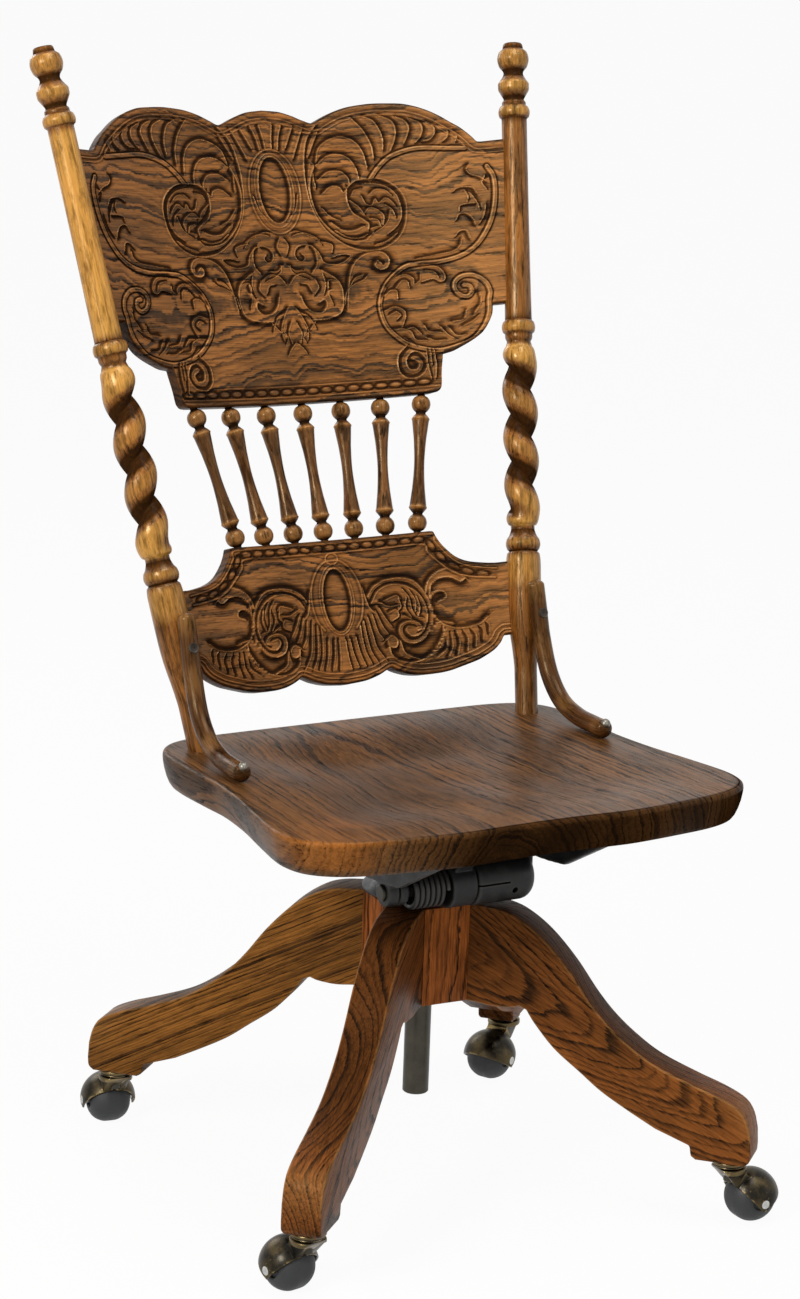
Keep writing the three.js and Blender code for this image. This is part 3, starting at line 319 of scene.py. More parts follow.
class Graph:
    """The nodes of a material or world, with short calls to make and join them."""

    def __init__(self, owner):
        owner.use_nodes = True
        self.owner, self.tree = owner, owner.node_tree
        self.shader = self.tree.nodes.get("Principled BSDF")

    def add(self, kind, inputs=(), **settings):
        node = self.tree.nodes.new(kind)
        for key, value in settings.items():
            setattr(node, key, value)
        for key, value in dict(inputs).items():
            self.put(node.inputs[key], value)
        return node

    def put(self, socket, value):
        if isinstance(value, bpy.types.NodeSocket):
            self.tree.links.new(value, socket)
        else:
            socket.default_value = value

    def math(self, operation, a, b=0.0, clamp=False):
        return self.add("ShaderNodeMath", {0: a, 1: b}, operation=operation, use_clamp=clamp).outputs[0]

    def plus(self, a, b, clamp=False):
        return self.math("ADD", a, b, clamp)

    def minus(self, a, b, clamp=False):
        return self.math("SUBTRACT", a, b, clamp)

    def times(self, a, b, clamp=False):
        return self.math("MULTIPLY", a, b, clamp)

    def spread(self, value, ends):
        """Takes the middle of a noise's range to the range between the ends."""
        inputs = {"Value": value, "From Min": 0.3, "From Max": 0.7, "To Min": ends[0], "To Max": ends[1]}
        return self.add("ShaderNodeMapRange", inputs).outputs[0]

    def vector(self, operation, a, b):
        return self.add("ShaderNodeVectorMath", {0: a, 1: b}, operation=operation).outputs[0]

    def noise(self, place, scale, detail, rough):
        inputs = {"Vector": self.vector("MULTIPLY", place, scale), "Scale": 1.0, "Detail": detail, "Roughness": rough}
        return self.add("ShaderNodeTexNoise", inputs).outputs["Fac"]

    def noise_along(self, value, detail):
        inputs = {"W": value, "Scale": 1.0, "Detail": detail}
        return self.add("ShaderNodeTexNoise", inputs, noise_dimensions="1D").outputs["Fac"]

    def ramp(self, value, stops):
        node = self.add("ShaderNodeValToRGB", {"Fac": value})
        ramp = node.color_ramp
        while len(ramp.elements) < len(stops):
            ramp.elements.new(1.0)
        for element, (at, colour) in zip(ramp.elements, stops):
            element.position = at
            element.color = (*colour, 1.0) if isinstance(colour, tuple) else (colour, colour, colour, 1.0)
        return node.outputs["Color"]

    def mix(self, share, a, b):
        node = self.add("ShaderNodeMix", data_type="RGBA")
        self.put(node.inputs[0], share)
        for socket, value in ((node.inputs[6], a), (node.inputs[7], b)):
            self.put(socket, (*value, 1.0) if isinstance(value, tuple) and len(value) == 3 else value)
        return node.outputs[2]

    def finish(self, colour, rough, height=None, strength=0.2, distance=0.0003, **fixed):
        self.put(self.shader.inputs["Base Color"], colour)
        self.put(self.shader.inputs["Roughness"], rough)
        for key, value in fixed.items():
            self.shader.inputs[key.replace("_", " ")].default_value = value
        if height is not None:
            bump = self.add("ShaderNodeBump", {"Strength": strength, "Distance": distance, "Height": height})
            self.put(self.shader.inputs["Normal"], bump.outputs["Normal"])
        return self.owner


def linear(*colours):
    """Colours written as 0 to 255 in sRGB, as the linear values that nodes take."""
    one = lambda c: c / 12.92 if c <= 0.04045 else ((c + 0.055) / 1.055) ** 2.4
    return [tuple(one(c / 255) for c in colour) for colour in colours]


def shade(colour, share):
    return tuple(share * c for c in colour)


def oak(name, light, dark, pore, wear, grime_and_shade, ring, slope=0.05, pith=40, bend=2.0, jag=1.6, ragged=0.9,
        band=(0.3, 0.5), depth=1.0, dashes=0.8, rough=(0.3, 0.5), coat=0.06, gloss=0.3, board=0.0, patchy=1.0,
        stain=0.0, bend_at=(4.0, 11.0, 11.0), jag_at=(24.0, 55.0, 55.0), rag_at=(14.0, 420.0, 420.0)):
    """Stained oak under old varnish. Colours are 0 to 255 in sRGB. ring is the width of a year and pith the depth of
    the tree's heart, in millimetres. bend, jag and ragged are wobbles of the years, coarse to fine, each at its own
    scale. A tone above zero is rubbed and takes a painted highlight in the wear colour; below zero it is dirty and
    takes painted shade in the grime colour."""
    light, dark, pore, wear, grime_and_shade = linear(light, dark, pore, wear, grime_and_shade)
    g = Graph(bpy.data.materials.new(name))
    grain = g.add("ShaderNodeAttribute", attribute_name="wood").outputs["Vector"]
    tone = g.add("ShaderNodeAttribute", attribute_name="tone").outputs["Fac"]
    if board:
        # Glued boards: each is cut from another place of the tree
        index = g.math("FLOOR", g.math("DIVIDE", g.add("ShaderNodeSeparateXYZ", {0: grain}).outputs["Y"], board * MM))
        apart = {0: g.times(index, 0.37), 1: g.times(index, 0.053), 2: g.times(index, 0.011)}
        grain = g.vector("ADD", grain, g.add("ShaderNodeCombineXYZ", apart).outputs[0])
    along, across, deep = g.add("ShaderNodeSeparateXYZ", {0: grain}).outputs[:3]
    about = lambda value, reach: g.times(g.minus(value, 0.5), reach)
    streak = g.noise(grain, (14.0, 420.0, 420.0), 3.0, 0.7)
    fibre = g.noise(grain, (40.0, 1500.0, 1500.0), 2.0, 0.6)
    patch = g.noise(grain, (6.0, 20.0, 20.0), 3.0, 0.55)
    heart = g.math("SQRT", g.plus(g.math("POWER", across, 2.0),
                                  g.math("POWER", g.plus(deep, pith * MM), 2.0)))
    year = g.math("DIVIDE", g.plus(heart, g.times(along, slope)), ring * MM)
    for wobble in (about(g.noise(grain, bend_at, 2.0, 0.5), bend), about(g.noise(grain, jag_at, 3.0, 0.6), jag),
                   about(g.noise(grain, rag_at, 3.0, 0.7), ragged)):
        year = g.plus(year, wobble)
    year = g.plus(year, about(g.noise_along(g.times(year, 0.7), 1.0), 1.3))
    strong = g.noise_along(g.times(year, 0.43), 0.0)
    early = g.ramp(g.math("FRACT", year), [(0.0, 0.1), (0.07, 1.0), (band[0], 0.8), (band[1], 0.15), (1.0, 0.0)])
    force = g.ramp(strong, [(0.34, 0.35), (0.6, 1.0)])
    early = g.times(g.times(early, force), depth)
    vessel = g.ramp(g.noise(grain, (28.0, 360.0, 360.0), 4.0, 0.78), [(0.50, 0.0), (0.60, 1.0)])
    vessel = g.times(vessel, g.plus(g.times(early, 0.7), 0.3))
    tint = g.plus(g.plus(about(patch, 0.9 * patchy), about(streak, 0.8)), about(fibre, 0.9))
    colour = g.ramp(g.plus(tint, 0.5), [(0.28, shade(light, 0.55)), (0.5, light), (0.75, shade(light, 1.5))])
    colour = g.mix(early, colour, dark)
    colour = g.mix(g.times(vessel, dashes), colour, pore)
    # Rubbed places, which also take a painted highlight, where the tone is above zero
    worn = g.times(g.plus(tone, 0.0, clamp=True), g.plus(g.times(streak, 1.2), 0.2))
    colour = g.mix(g.times(worn, g.minus(1.0, g.times(vessel, 0.7))), colour, wear)
    # Dirt and painted shade where the tone is below zero, and stains
    dirt_and_shade = g.times(tone, -1.0, clamp=True)
    if stain:
        mark = g.ramp(g.noise(grain, (32.0, 130.0, 130.0), 4.0, 0.68), [(0.48, 0.0), (0.66, 1.0)])
        dirt_and_shade = g.math("MAXIMUM", dirt_and_shade, g.times(mark, stain))
    colour = g.mix(g.times(dirt_and_shade, 0.9), colour, grime_and_shade)
    shine = g.plus(g.times(patch, 0.6), g.times(fibre, 0.4))
    shine = g.spread(shine, rough)
    open_wood = g.minus(1.0, g.plus(g.times(vessel, 0.75), g.times(early, 0.2)))
    clean = g.minus(1.0, g.times(dirt_and_shade, 1.35), clamp=True)
    mirror = g.times(g.times(open_wood, clean), gloss, clamp=True)
    g.put(g.shader.inputs["Specular IOR Level"], mirror)
    height = g.minus(g.times(fibre, 0.35), g.plus(g.times(early, 0.3), vessel))
    return g.finish(colour, shine, height, 0.4, 0.0003, Coat_Weight=coat, Coat_Roughness=0.14,
                    Specular_Tint=(1.0, 0.72, 0.4, 1.0))


def metal(name, base, worn, rough=(0.35, 0.6), metallic=0.9, speck=0.0, grain=1.0, wear=0.5):
    """Cast or drawn metal with blotches, rubbed places and a fine cast grain."""
    base, worn = linear(base, worn)
    g = Graph(bpy.data.materials.new(name))
    where = g.add("ShaderNodeTexCoord").outputs["Object"]
    blotch = g.noise(where, (60.0,) * 3, 4.0, 0.6)
    fine = g.noise(where, (900.0,) * 3, 3.0, 0.6)
    edge = g.add("ShaderNodeNewGeometry").outputs["Pointiness"]
    rubbed = g.ramp(g.plus(edge, g.times(g.minus(blotch, 0.5), 0.12)),
                    [(0.50, 0.0), (0.60, 1.0)])
    colour = g.mix(g.times(g.ramp(blotch, [(0.35, 0.0), (0.7, 1.0)]), 0.45),
                   base, shade(base, 0.55))
    colour = g.mix(g.times(rubbed, wear), colour, worn)
    if speck:
        spots = g.ramp(g.noise(where, (330.0,) * 3, 2.0, 0.7), [(0.66, 0.0), (0.74, 1.0)])
        colour = g.mix(g.times(spots, speck), colour, worn)
    shine = g.spread(blotch, rough)
    height = g.plus(g.times(fine, 0.4), blotch)
    return g.finish(colour, shine, height, 0.3 * grain, 0.0003, Metallic=metallic)


# In these oaks the wear colour also paints highlights and the grime colour also paints shade, where a piece's tone
# says so
gold_oak = oak("golden_oak", light=(136, 83, 31), dark=(80, 46, 17), pore=(30, 17, 7),
               wear=(236, 176, 84), grime_and_shade=(40, 23, 9), ring=4.5, slope=0.02, pith=28, jag=1.2, depth=0.8,
               dashes=1.0, rough=(0.18, 0.36), coat=0.03, gloss=0.62, stain=0.65, patchy=1.6)
brace_oak = oak("bent_oak", light=(89, 54, 25), dark=(52, 32, 15), pore=(20, 12, 6),
                wear=(190, 138, 74), grime_and_shade=(22, 14, 7), ring=5, slope=0.02, pith=28, jag=1.2, depth=0.8,
                rough=(0.18, 0.34), coat=0.02, gloss=0.26, stain=0.75)
baluster_oak = oak("baluster_oak", light=(98, 61, 29), dark=(50, 30, 14), pore=(20, 12, 6),
                   wear=(184, 128, 68), grime_and_shade=(16, 10, 5), ring=4.5, slope=0.02, pith=24, jag=1.2,
                   depth=0.9, rough=(0.18, 0.34), coat=0.04, gloss=0.35, stain=0.7, patchy=1.5)
crest_oak = oak("carved_oak", light=(142, 90, 44), dark=(42, 30, 23), pore=(22, 14, 9),
                wear=(214, 158, 98), grime_and_shade=(26, 18, 13), ring=8.2, slope=0.06, pith=22, bend=9.5, jag=2.2,
                ragged=1.0, band=(0.4, 0.6), dashes=1.0, rough=(0.24, 0.4), coat=0.0, gloss=0.38, patchy=1.6,
                bend_at=(7.0, 6.0, 6.0), jag_at=(34.0, 15.0, 15.0), rag_at=(46.0, 900.0, 900.0))
seat_oak = oak("seat_oak", light=(98, 63, 31), dark=(34, 21, 11), pore=(10, 6, 4),
               wear=(178, 104, 38), grime_and_shade=(26, 16, 8), ring=7, slope=0.05, pith=60, bend=2.5, jag=1.6,
               ragged=0.5, depth=0.95, dashes=1.0, rough=(0.3, 0.46), coat=0.0, gloss=0.24, board=118, patchy=1.7,
               stain=0.3)
LEGS = dict(light=(122, 70, 30), dark=(40, 24, 13), pore=(22, 13, 8), wear=(190, 140, 84),
            grime_and_shade=(34, 25, 17), rough=(0.32, 0.5), coat=0.0, gloss=0.14, stain=0.3, dashes=1.0,
            rag_at=(40.0, 620.0, 620.0))
base_oak = oak("base_oak", **LEGS, ring=3.8, slope=0.13, pith=34, bend=3.4, jag=0.9, ragged=0.6, band=(0.26, 0.5),
               bend_at=(5.0, 14.0, 14.0))
split_oak = oak("split_oak", **{**LEGS, "light": (130, 83, 34)}, ring=3.8, slope=0.02, bend=2.0, jag=0.8,
                ragged=0.4, band=(0.2, 0.5), board=160)
block_oak = oak("block_oak", **{**LEGS, "light": (176, 98, 44)}, ring=6, slope=0.03, pith=34, jag=1.2,
                ragged=0.45, band=(0.2, 0.4))
black_iron = metal("black_iron", (31, 31, 31), (112, 110, 104), rough=(0.38, 0.64), metallic=0.45, grain=1.7,
                   speck=0.12, wear=0.4)
steel = metal("dark_steel", (33, 31, 26), (100, 95, 84), rough=(0.3, 0.5), metallic=0.85, grain=0.8)
bronze = metal("old_bronze", (38, 35, 29), (164, 140, 92), rough=(0.24, 0.46), metallic=0.9, speck=0.35,
               grain=1.0, wear=0.6)
rivet_steel = metal("rivet_steel", (176, 176, 172), (220, 220, 216), rough=(0.22, 0.4), metallic=0.95, grain=0.4)
tread = metal("worn_tread", (40, 41, 43), (84, 84, 84), rough=(0.5, 0.72), metallic=0.0, grain=0.8, wear=0.4)
screw_steel = metal("dark_screws", (20, 17, 15), (104, 92, 76), rough=(0.4, 0.6), metallic=0.6)

worn_steel = metal("worn_screws", (96, 92, 84), (190, 184, 170), rough=(0.3, 0.5), metallic=0.85)


# Back posts

TENON = [[10.4, -24], [11.4, -22.8]]
FOOT = [[11.4, 42], [12.6, 58], [16.4, 91], [17.2, 108], [17.5, 150], [16.4, 160], [14.2, 162.3], [16.2, 164.2],
        [17.5, 169.5], [16.4, 174.8], [14.2, 177.8], [12, 183.5]]
HEAD = [[12, 376.5], [13.8, 380.6], [14, 384.4], [16.2, 386.6], [17, 391], [15.8, 396.4], [13.7, 398.6],
        [12.9, 606.5], [15.2, 608.6], [16.1, 613.4], [14.6, 618.4], [12.4, 620.4], [12.2, 623.4], [10.3, 626.2],
        [13.4, 632.4], [15.8, 637.4], [15.9, 642.4], [13.2, 646.8], [9.9, 653.6], [10.6, 656.2], [14.2, 660.6],
        [16.1, 668.4], [14.4, 675.6], [10.6, 679.2], [9.8, 683.6], [9.0, 684.5]]


# The twist swells out of its necks over SWELL, and its groove deepens over FADE. At GROOVE_AT the groove's root faces
# GROOVE_FACING degrees
SWELL, FADE, GROOVE_AT, GROOVE_FACING, GROOVE_DEEP = 18, 26, 331, -120, 0.5


def twist_radius(v, angle):
    """A single groove winds up a round bar. v is the height and angle the direction."""
    from_end = np.minimum(v - TWIST_BOTTOM, TWIST_TOP - v)
    swell = np.sqrt(np.clip(1 - (1 - np.minimum(1, from_end / SWELL)) ** 2, 0, 1))
    root = math.radians(GROOVE_FACING) + (v - GROOVE_AT) / TWIST_PITCH * 2 * math.pi
    round_back = np.abs(np.sin((angle - root) / 2)) ** 0.85
    outer = TWIST_NECK_R + (TWIST_R - TWIST_NECK_R) * swell
    return outer * (1 - GROOVE_DEEP * smoothstep(0, FADE, from_end) * (1 - round_back))


def sampled(profile, step):
    p = rows(profile)
    z = np.concatenate([np.arange(p[0, 1], p[-1, 1], step), p[:, 1]])
    z = np.unique(np.round(z, 3))
    return np.column_stack([monotone(p[:, 1], p[:, 0], z), z])


def hollow_tone(r, z, reach=9.0, depth=1.6):
    """Below zero, as painted shade, in the quirks of a turning; above zero, as a painted highlight with wear, on its
    crests.
    """
    even = np.arange(z[0], z[-1], 0.5)
    shape = np.interp(even, z, r)
    n = int(reach / 0.5)
    soft = np.convolve(np.pad(shape, n, mode="edge"), np.ones(2 * n + 1) / (2 * n + 1), mode="valid")
    return np.clip((r - np.interp(z, even, soft)) / depth, -1, 1)


# The left post's straight part is painted lighter, a painted highlight where the light falls on it, and the middle of
# both twists has kept its stain
STRAIGHT, STRAIGHT_PAINTED_LIGHT, TWIST_STAIN = (399, 607), 0.62, 0.42


def post(side, sides=88):
    """side is 1 for the left post and -1 for the right. The foot is turned, then the twist, then the long head."""
    angle = np.arange(sides) / sides * 2 * math.pi
    foot, head = sampled(TENON + FOOT, 3.0), sampled(HEAD, 1.4)
    twist_v = np.arange(TWIST_BOTTOM, TWIST_TOP + 0.1, 1.3)
    v = np.concatenate([foot[:, 1], twist_v, head[:, 1]])
    r = np.concatenate([foot[:, 0], np.full(len(twist_v), 1.0), head[:, 0]])
    radius = np.repeat(r[:, None], sides, 1)
    inside = slice(len(foot), len(foot) + len(twist_v))
    radius[inside] = twist_radius(twist_v[:, None], angle[None, :])
    tone = np.zeros_like(radius)
    # The foot and head take painted shade in their quirks and a painted highlight with wear on their crests, at half
    # strength
    tone[: inside.start] = hollow_tone(foot[:, 0], foot[:, 1])[:, None]
    tone[inside.stop:] = hollow_tone(head[:, 0], head[:, 1])[:, None]
    tone = np.where(tone > 0, 0.5 * tone, tone)
    # The twist's ridges take a painted highlight and its grooves painted shade; its middle is darker for its stain
    full = radius[inside] / radius[inside].max(1, keepdims=True)
    middle = smoothstep(200, 232, twist_v) * (1 - smoothstep(335, 362, twist_v))
    tone[inside] = np.clip((full - 0.87) / 0.13, -1, 0.75) - 0.12 - TWIST_STAIN * middle[:, None]
    # A painted highlight on the upper foot, with the foot below it darker
    tone[: inside.start] += 0.6 * np.exp(-((foot[:, 1] - 142) / 20) ** 2)[:, None] - 0.2
    # The left post's straight part takes a painted highlight
    tone[(v > STRAIGHT[0]) & (v < STRAIGHT[1])] += STRAIGHT_PAINTED_LIGHT if side > 0 else 0.0
    x, w = radius * np.cos(angle), radius * np.sin(angle)
    vv = np.broadcast_to(v[:, None], radius.shape)
    lean = math.atan(POST_SPLAY)
    u = -POST_FOOT_X + x * math.cos(lean) - vv * math.sin(lean)
    up = x * math.sin(lean) + vv * math.cos(lean)
    solid = skin(from_back(side * u, w, up))
    wood = np.stack([vv + 900 * side, x + 11 * side, w + 6], -1).reshape(-1, 3)
    label = "left" if side > 0 else "right"
    piece(f"turned_post_{label}", solid, "seat", [f"{label}_back_post"], "gold_oak", gold_oak, wood=wood,
          tone=tone.ravel(), sharp=60)


post(1)
post(-1)


# Panels

CREST = dict(bottom=331, high=299, half=220, shoulders=(415, 583), bend=468, end=3.5)
LOWER = dict(bottom=47, high=144.5, half=173, shoulders=(79, 153), bend=569, end=4.9)
CREST_TOP = [
    [0, 1], [0.073, 0.995], [0.141, 0.98], [0.195, 0.962], [0.241, 0.951], [0.286, 0.965], [0.355, 0.987],
    [0.441, 1.002], [0.536, 1.007], [0.614, 1.004], [0.668, 1], [0.727, 0.988], [0.782, 0.97], [0.836, 0.945],
    [0.877, 0.921], [0.909, 0.903], [0.936, 0.883], [0.959, 0.863], [0.979, 0.845], [1, 0.843], [1.027, 0.843],
    [1.05, 0.843]]
CREST_BOTTOM = [
    [0, 0], [0.073, 0], [0.141, 0], [0.195, 0], [0.241, 0], [0.295, 0], [0.364, 0], [0.445, 0], [0.536, 0],
    [0.609, 0], [0.641, 0.002], [0.661, 0.013], [0.67, 0.057], [0.682, 0.1], [0.691, 0.127], [0.736, 0.134],
    [0.786, 0.149], [0.836, 0.167], [0.877, 0.187], [0.909, 0.216], [0.93, 0.247], [0.939, 0.281]]
LOWER_TOP = [
    [0, 1], [0.12, 1], [0.24, 1], [0.36, 1], [0.46, 1], [0.56, 1], [0.63, 1], [0.659, 0.997], [0.671, 0.965],
    [0.694, 0.913], [0.728, 0.86], [0.77, 0.81], [0.82, 0.776], [0.87, 0.757], [0.92, 0.746], [0.97, 0.737],
    [1.02, 0.733]]
LOWER_BOTTOM = [
    [0, 0], [0.115, 0.012], [0.208, 0.04], [0.289, 0.08], [0.32, 0.062], [0.358, 0.042], [0.42, 0.02],
    [0.5, 0.01], [0.578, 0.01], [0.65, 0.018], [0.71, 0.034], [0.77, 0.052], [0.83, 0.072], [0.88, 0.098],
    [0.93, 0.132], [0.965, 0.172], [1, 0.221]]
PANEL_THICK, PANEL_ROUND, RELIEF_STEP = 18, 3.0, 0.6


class Carving:
    """Relief over a panel's face. Each kind of stroke keeps its least share of its own half width."""

    def __init__(self, u, v):
        self.u, self.v = u.ravel(), v.ravel()
        self.nearest = {}
        self.side = np.zeros(self.u.shape)

    def share_of(self, kind):
        """How far each place is from the nearest stroke of a kind, in half widths. 9 is far from all."""
        return self.nearest.setdefault(kind, np.full(self.u.shape, 9.0))

    def stroke(self, kind, points, half, tip=None, closed=False, mirror=True):
        """A stroke through the points, in parts that reach eight half widths. An edge is cut deep on one side."""
        line = through(points, 0.5, closed)
        half = np.linspace(half, half if tip is None else tip, len(line))
        along = unit(np.gradient(line, axis=0))
        share = self.share_of(kind)
        for sign in (1, -1) if mirror else (1,):
            for start in range(0, len(line), 20):
                part, wide, ahead = line[start:start + 21], half[start:start + 21], along[start:start + 21]
                x, y, reach = sign * part[:, 0], part[:, 1], 8 * wide.max()
                near = np.flatnonzero((self.u > x.min() - reach) & (self.u < x.max() + reach)
                                      & (self.v > y.min() - reach) & (self.v < y.max() + reach))
                if not len(near):
                    continue
                du, dv = self.u[near, None] - x[None], self.v[near, None] - y[None]
                far = np.hypot(du, dv) / wide[None]
                best = far.argmin(1)
                row = np.arange(len(near))
                closer = far[row, best] < share[near]
                hit, best, row = near[closer], best[closer], row[closer]
                share[hit] = far[row, best]
                if kind == "edge":
                    self.side[hit] = np.sign(ahead[best, 0] * dv[row, best] - sign * ahead[best, 1] * du[row, best])

    def strokes(self, kind, table, half, tip=None):
        for flat in table:
            self.stroke(kind, rows(flat).reshape(-1, 2), half, tip)

    def oval(self, kind, u, v, across, up, half, n=28):
        a = np.arange(n) / n * 2 * math.pi
        line = np.column_stack([u + across * np.cos(a), v + up * np.sin(a)])
        self.stroke(kind, line, half, closed=True, mirror=False)

    def bead(self, u, v, across, up, lean=0.0):
        """An oval button."""
        share = self.share_of("bead")
        c, s = math.cos(lean), math.sin(lean)
        du, dv = self.u - u, self.v - v
        share[:] = np.minimum(share, np.hypot((du * c + dv * s) / across, (dv * c - du * s) / up))

    def relief(self):
        """The height over the ground, and each place's tone: above zero the ridges and stems are rubbed and take a
        painted highlight, below zero the gutters take painted shade.
        """
        line, fine, edge, band, bead = map(self.share_of, ("line", "fine", "edge", "band", "bead"))
        lines = np.maximum.reduce([1.8 * np.exp(-line**2), 1.35 * np.exp(-fine**2), 1.25 * np.exp(-edge**2)])
        ridge = np.maximum.reduce([
            lines, 1.0 * np.clip(1 - band**2, 0, 1) ** 0.5, 1.1 * np.clip(1 - bead**2, 0, 1) ** 0.6])
        gutter = np.maximum.reduce([
            1.05 * np.exp(-(line / 2.2) ** 2), 0.75 * np.exp(-(fine / 2.2) ** 2),
            (0.75 + 0.45 * self.side) * np.exp(-(edge / np.where(self.side > 0, 4.5, 2.3)) ** 2),
            1.2 * np.exp(-((band - 1.15) / 0.4) ** 2), 1.0 * np.exp(-((bead - 1.1) / 0.4) ** 2)])
        # The ridges, stems and beads take a painted highlight with their wear, and the gutters painted shade
        wear_and_painted_light = np.maximum.reduce([
            0.82 * lines, 0.9 * np.exp(-((band - 0.65) / 0.22) ** 2), 0.1 * np.clip(1 - bead**2, 0, 1)])
        return ridge - gutter, wear_and_painted_light - 1.1 * gutter


CREST_SCROLLS = [
    [55, 611.5, 44, 598.5, 38, 578.5, 36, 556.5, 37.5, 536.5, 42, 520, 51.5, 503.5, 66.5, 490, 83.5, 482.5, 103.5,
     481.5, 120, 488.5, 131.5, 501.5, 136.5, 520, 135.5, 533.5, 129, 544, 116.5, 552.5, 101.5, 554, 88.5, 552.5,
     79, 546], [47.5, 570, 41, 555, 39.5, 540, 43.5, 521.5, 55, 505, 70, 494, 88.5, 491.5, 96.5, 496.5],
    [79, 546, 77.5, 533.5, 81.5, 521, 91, 513.5, 96.5, 508.5, 96, 503.5], [57.5, 511.5, 68.5, 503.5, 80, 502.5, 91,
     506], [61.5, 425, 65, 443.5, 70, 461, 78.5, 472.5, 91.5, 478.5, 105, 478.5, 112, 471, 109, 462.5, 101, 460.5,
     96.5, 465, 99.5, 470, 103.5, 467], [12.5, 438.5, 16, 428.5, 23.5, 422, 33.5, 421.5, 39.5, 428, 38, 433.5,
     32.5, 431.5], [40, 463.5, 53, 455, 58.5, 445, 58.5, 431.5, 54, 420, 41.5, 414.5, 23.5, 413.5],
    [116.5, 380.5, 107, 371, 105.5, 356.5, 113.5, 348, 126.5, 349.5, 134.5, 360, 130, 371.5, 121, 373.5, 114.5,
     366.5, 116, 357.5, 123.5, 356.5, 126.5, 362.5, 121.5, 366]]
CREST_FINE = [
    [61.5, 503.5, 71.5, 496.5, 83.5, 494.5, 93.5, 497.5], [50, 526.5, 57.5, 518, 66.5, 513.5], [45, 565, 46, 548.5],
    [98.5, 550, 108.5, 549, 120, 545, 128.5, 536.5, 131.5, 525, 131, 513.5, 125, 503.5, 115, 496.5],
    [103.5, 540, 108.5, 543, 117.5, 542, 124, 536], [93.5, 536.5, 96.5, 529, 102.5, 527.5, 106.5, 533.5, 110, 529,
     116.5, 533.5, 121.5, 531.5, 126.5, 525], [93.5, 520, 100, 525, 108.5, 521.5, 113.5, 515, 111.5, 506.5],
    [100, 513.5, 106.5, 511.5, 109, 505], [103.5, 500, 110, 503.5, 116.5, 510, 120, 520], [98.5, 503.5, 105, 505],
    [83.5, 540, 86.5, 543.5, 94, 545], [80, 533.5, 88.5, 526.5, 93.5, 518.5], [116.5, 526.5, 122.5, 521.5, 125,
     513.5], [101.5, 486.5, 113.5, 490, 123.5, 496.5], [59, 428.5, 62.5, 440, 71.5, 447.5, 81.5, 451, 86.5, 455],
    [65, 443.5, 73.5, 453.5, 80, 456], [140, 468.5, 160, 471, 176.5, 473.5, 183.5, 478.5, 185.5, 484],
    [10, 516.5, 20, 526.5, 25, 541.5], [136, 373.5, 135.5, 360, 137, 345], [143.5, 373.5, 143.5, 358.5, 141.5,
     346.5], [140, 373.5, 139.5, 360]]
CREST_SCOOPS = [
    [50, 575, 55, 588.5, 66.5, 596.5, 80, 599.5, 93.5, 594, 101, 582.5, 103.5, 566.5],
    [50, 571.5, 61.5, 579.5, 73.5, 581.5, 85, 577, 91.5, 566.5, 93.5, 554.5], [52, 558, 62, 564, 75, 563.5, 81.5,
     557, 83, 551], [53.5, 543, 62.5, 549, 71.5, 547.5, 75, 542, 80.5, 548], [93.5, 618.5, 103.5, 606.5, 109, 595,
     111.5, 586, 111.5, 575.5], [106.5, 619, 116.5, 613.5, 122, 602.5, 123.5, 593.5, 122.5, 584],
    [123.5, 618.5, 134.5, 612.5, 138, 603.5, 135.5, 592.5, 130, 582], [140, 616, 148, 611.5, 151.5, 604.5, 149,
     596.5, 144.5, 588], [155, 612.5, 162.5, 608, 164.5, 601.5, 161.5, 593.5, 156.5, 588.5],
    [169, 607.5, 175.5, 602.5, 175.5, 595.5, 170, 589.5, 164, 588.5], [181.5, 602.5, 188, 598, 187.5, 591.5, 183.5,
     587.5], [193.5, 595, 196.5, 591, 195, 586.5], [41, 610, 33.5, 595, 26.5, 580],
    [30, 611.5, 25, 601.5, 19.5, 590.5], [17.5, 612.5, 13, 601.5, 10.5, 589], [7.5, 613.5, 5, 601.5, 3.5, 589],
    [56.5, 605, 50, 593.5, 43.5, 581.5]]
CREST_STEMS = [
    [104.5, 553.5, 113.5, 564, 126.5, 574.5, 143.5, 580.5, 160, 582, 180, 580, 201.5, 577.5],
    [220, 556.5, 224.5, 545, 223.5, 526.5, 218.5, 506.5, 210, 490, 198.5, 476.5, 183.5, 468, 163.5, 464, 140,
     463.5, 126.5, 461.5, 114, 453.5, 103.5, 443, 97, 430, 95.5, 418.5, 98.5, 404, 106.5, 392.5, 118.5, 382.5,
     133.5, 376.5, 150, 373.5, 168.5, 376.5, 183.5, 382, 195, 393.5, 201.5, 406.5, 203.5, 420, 205.5, 428.5, 202.5,
     438.5, 193.5, 446, 182, 447, 174, 442, 172.5, 434.5, 176.5, 428, 183.5, 425.5, 188.5, 430, 187, 436, 182,
     437.5]]
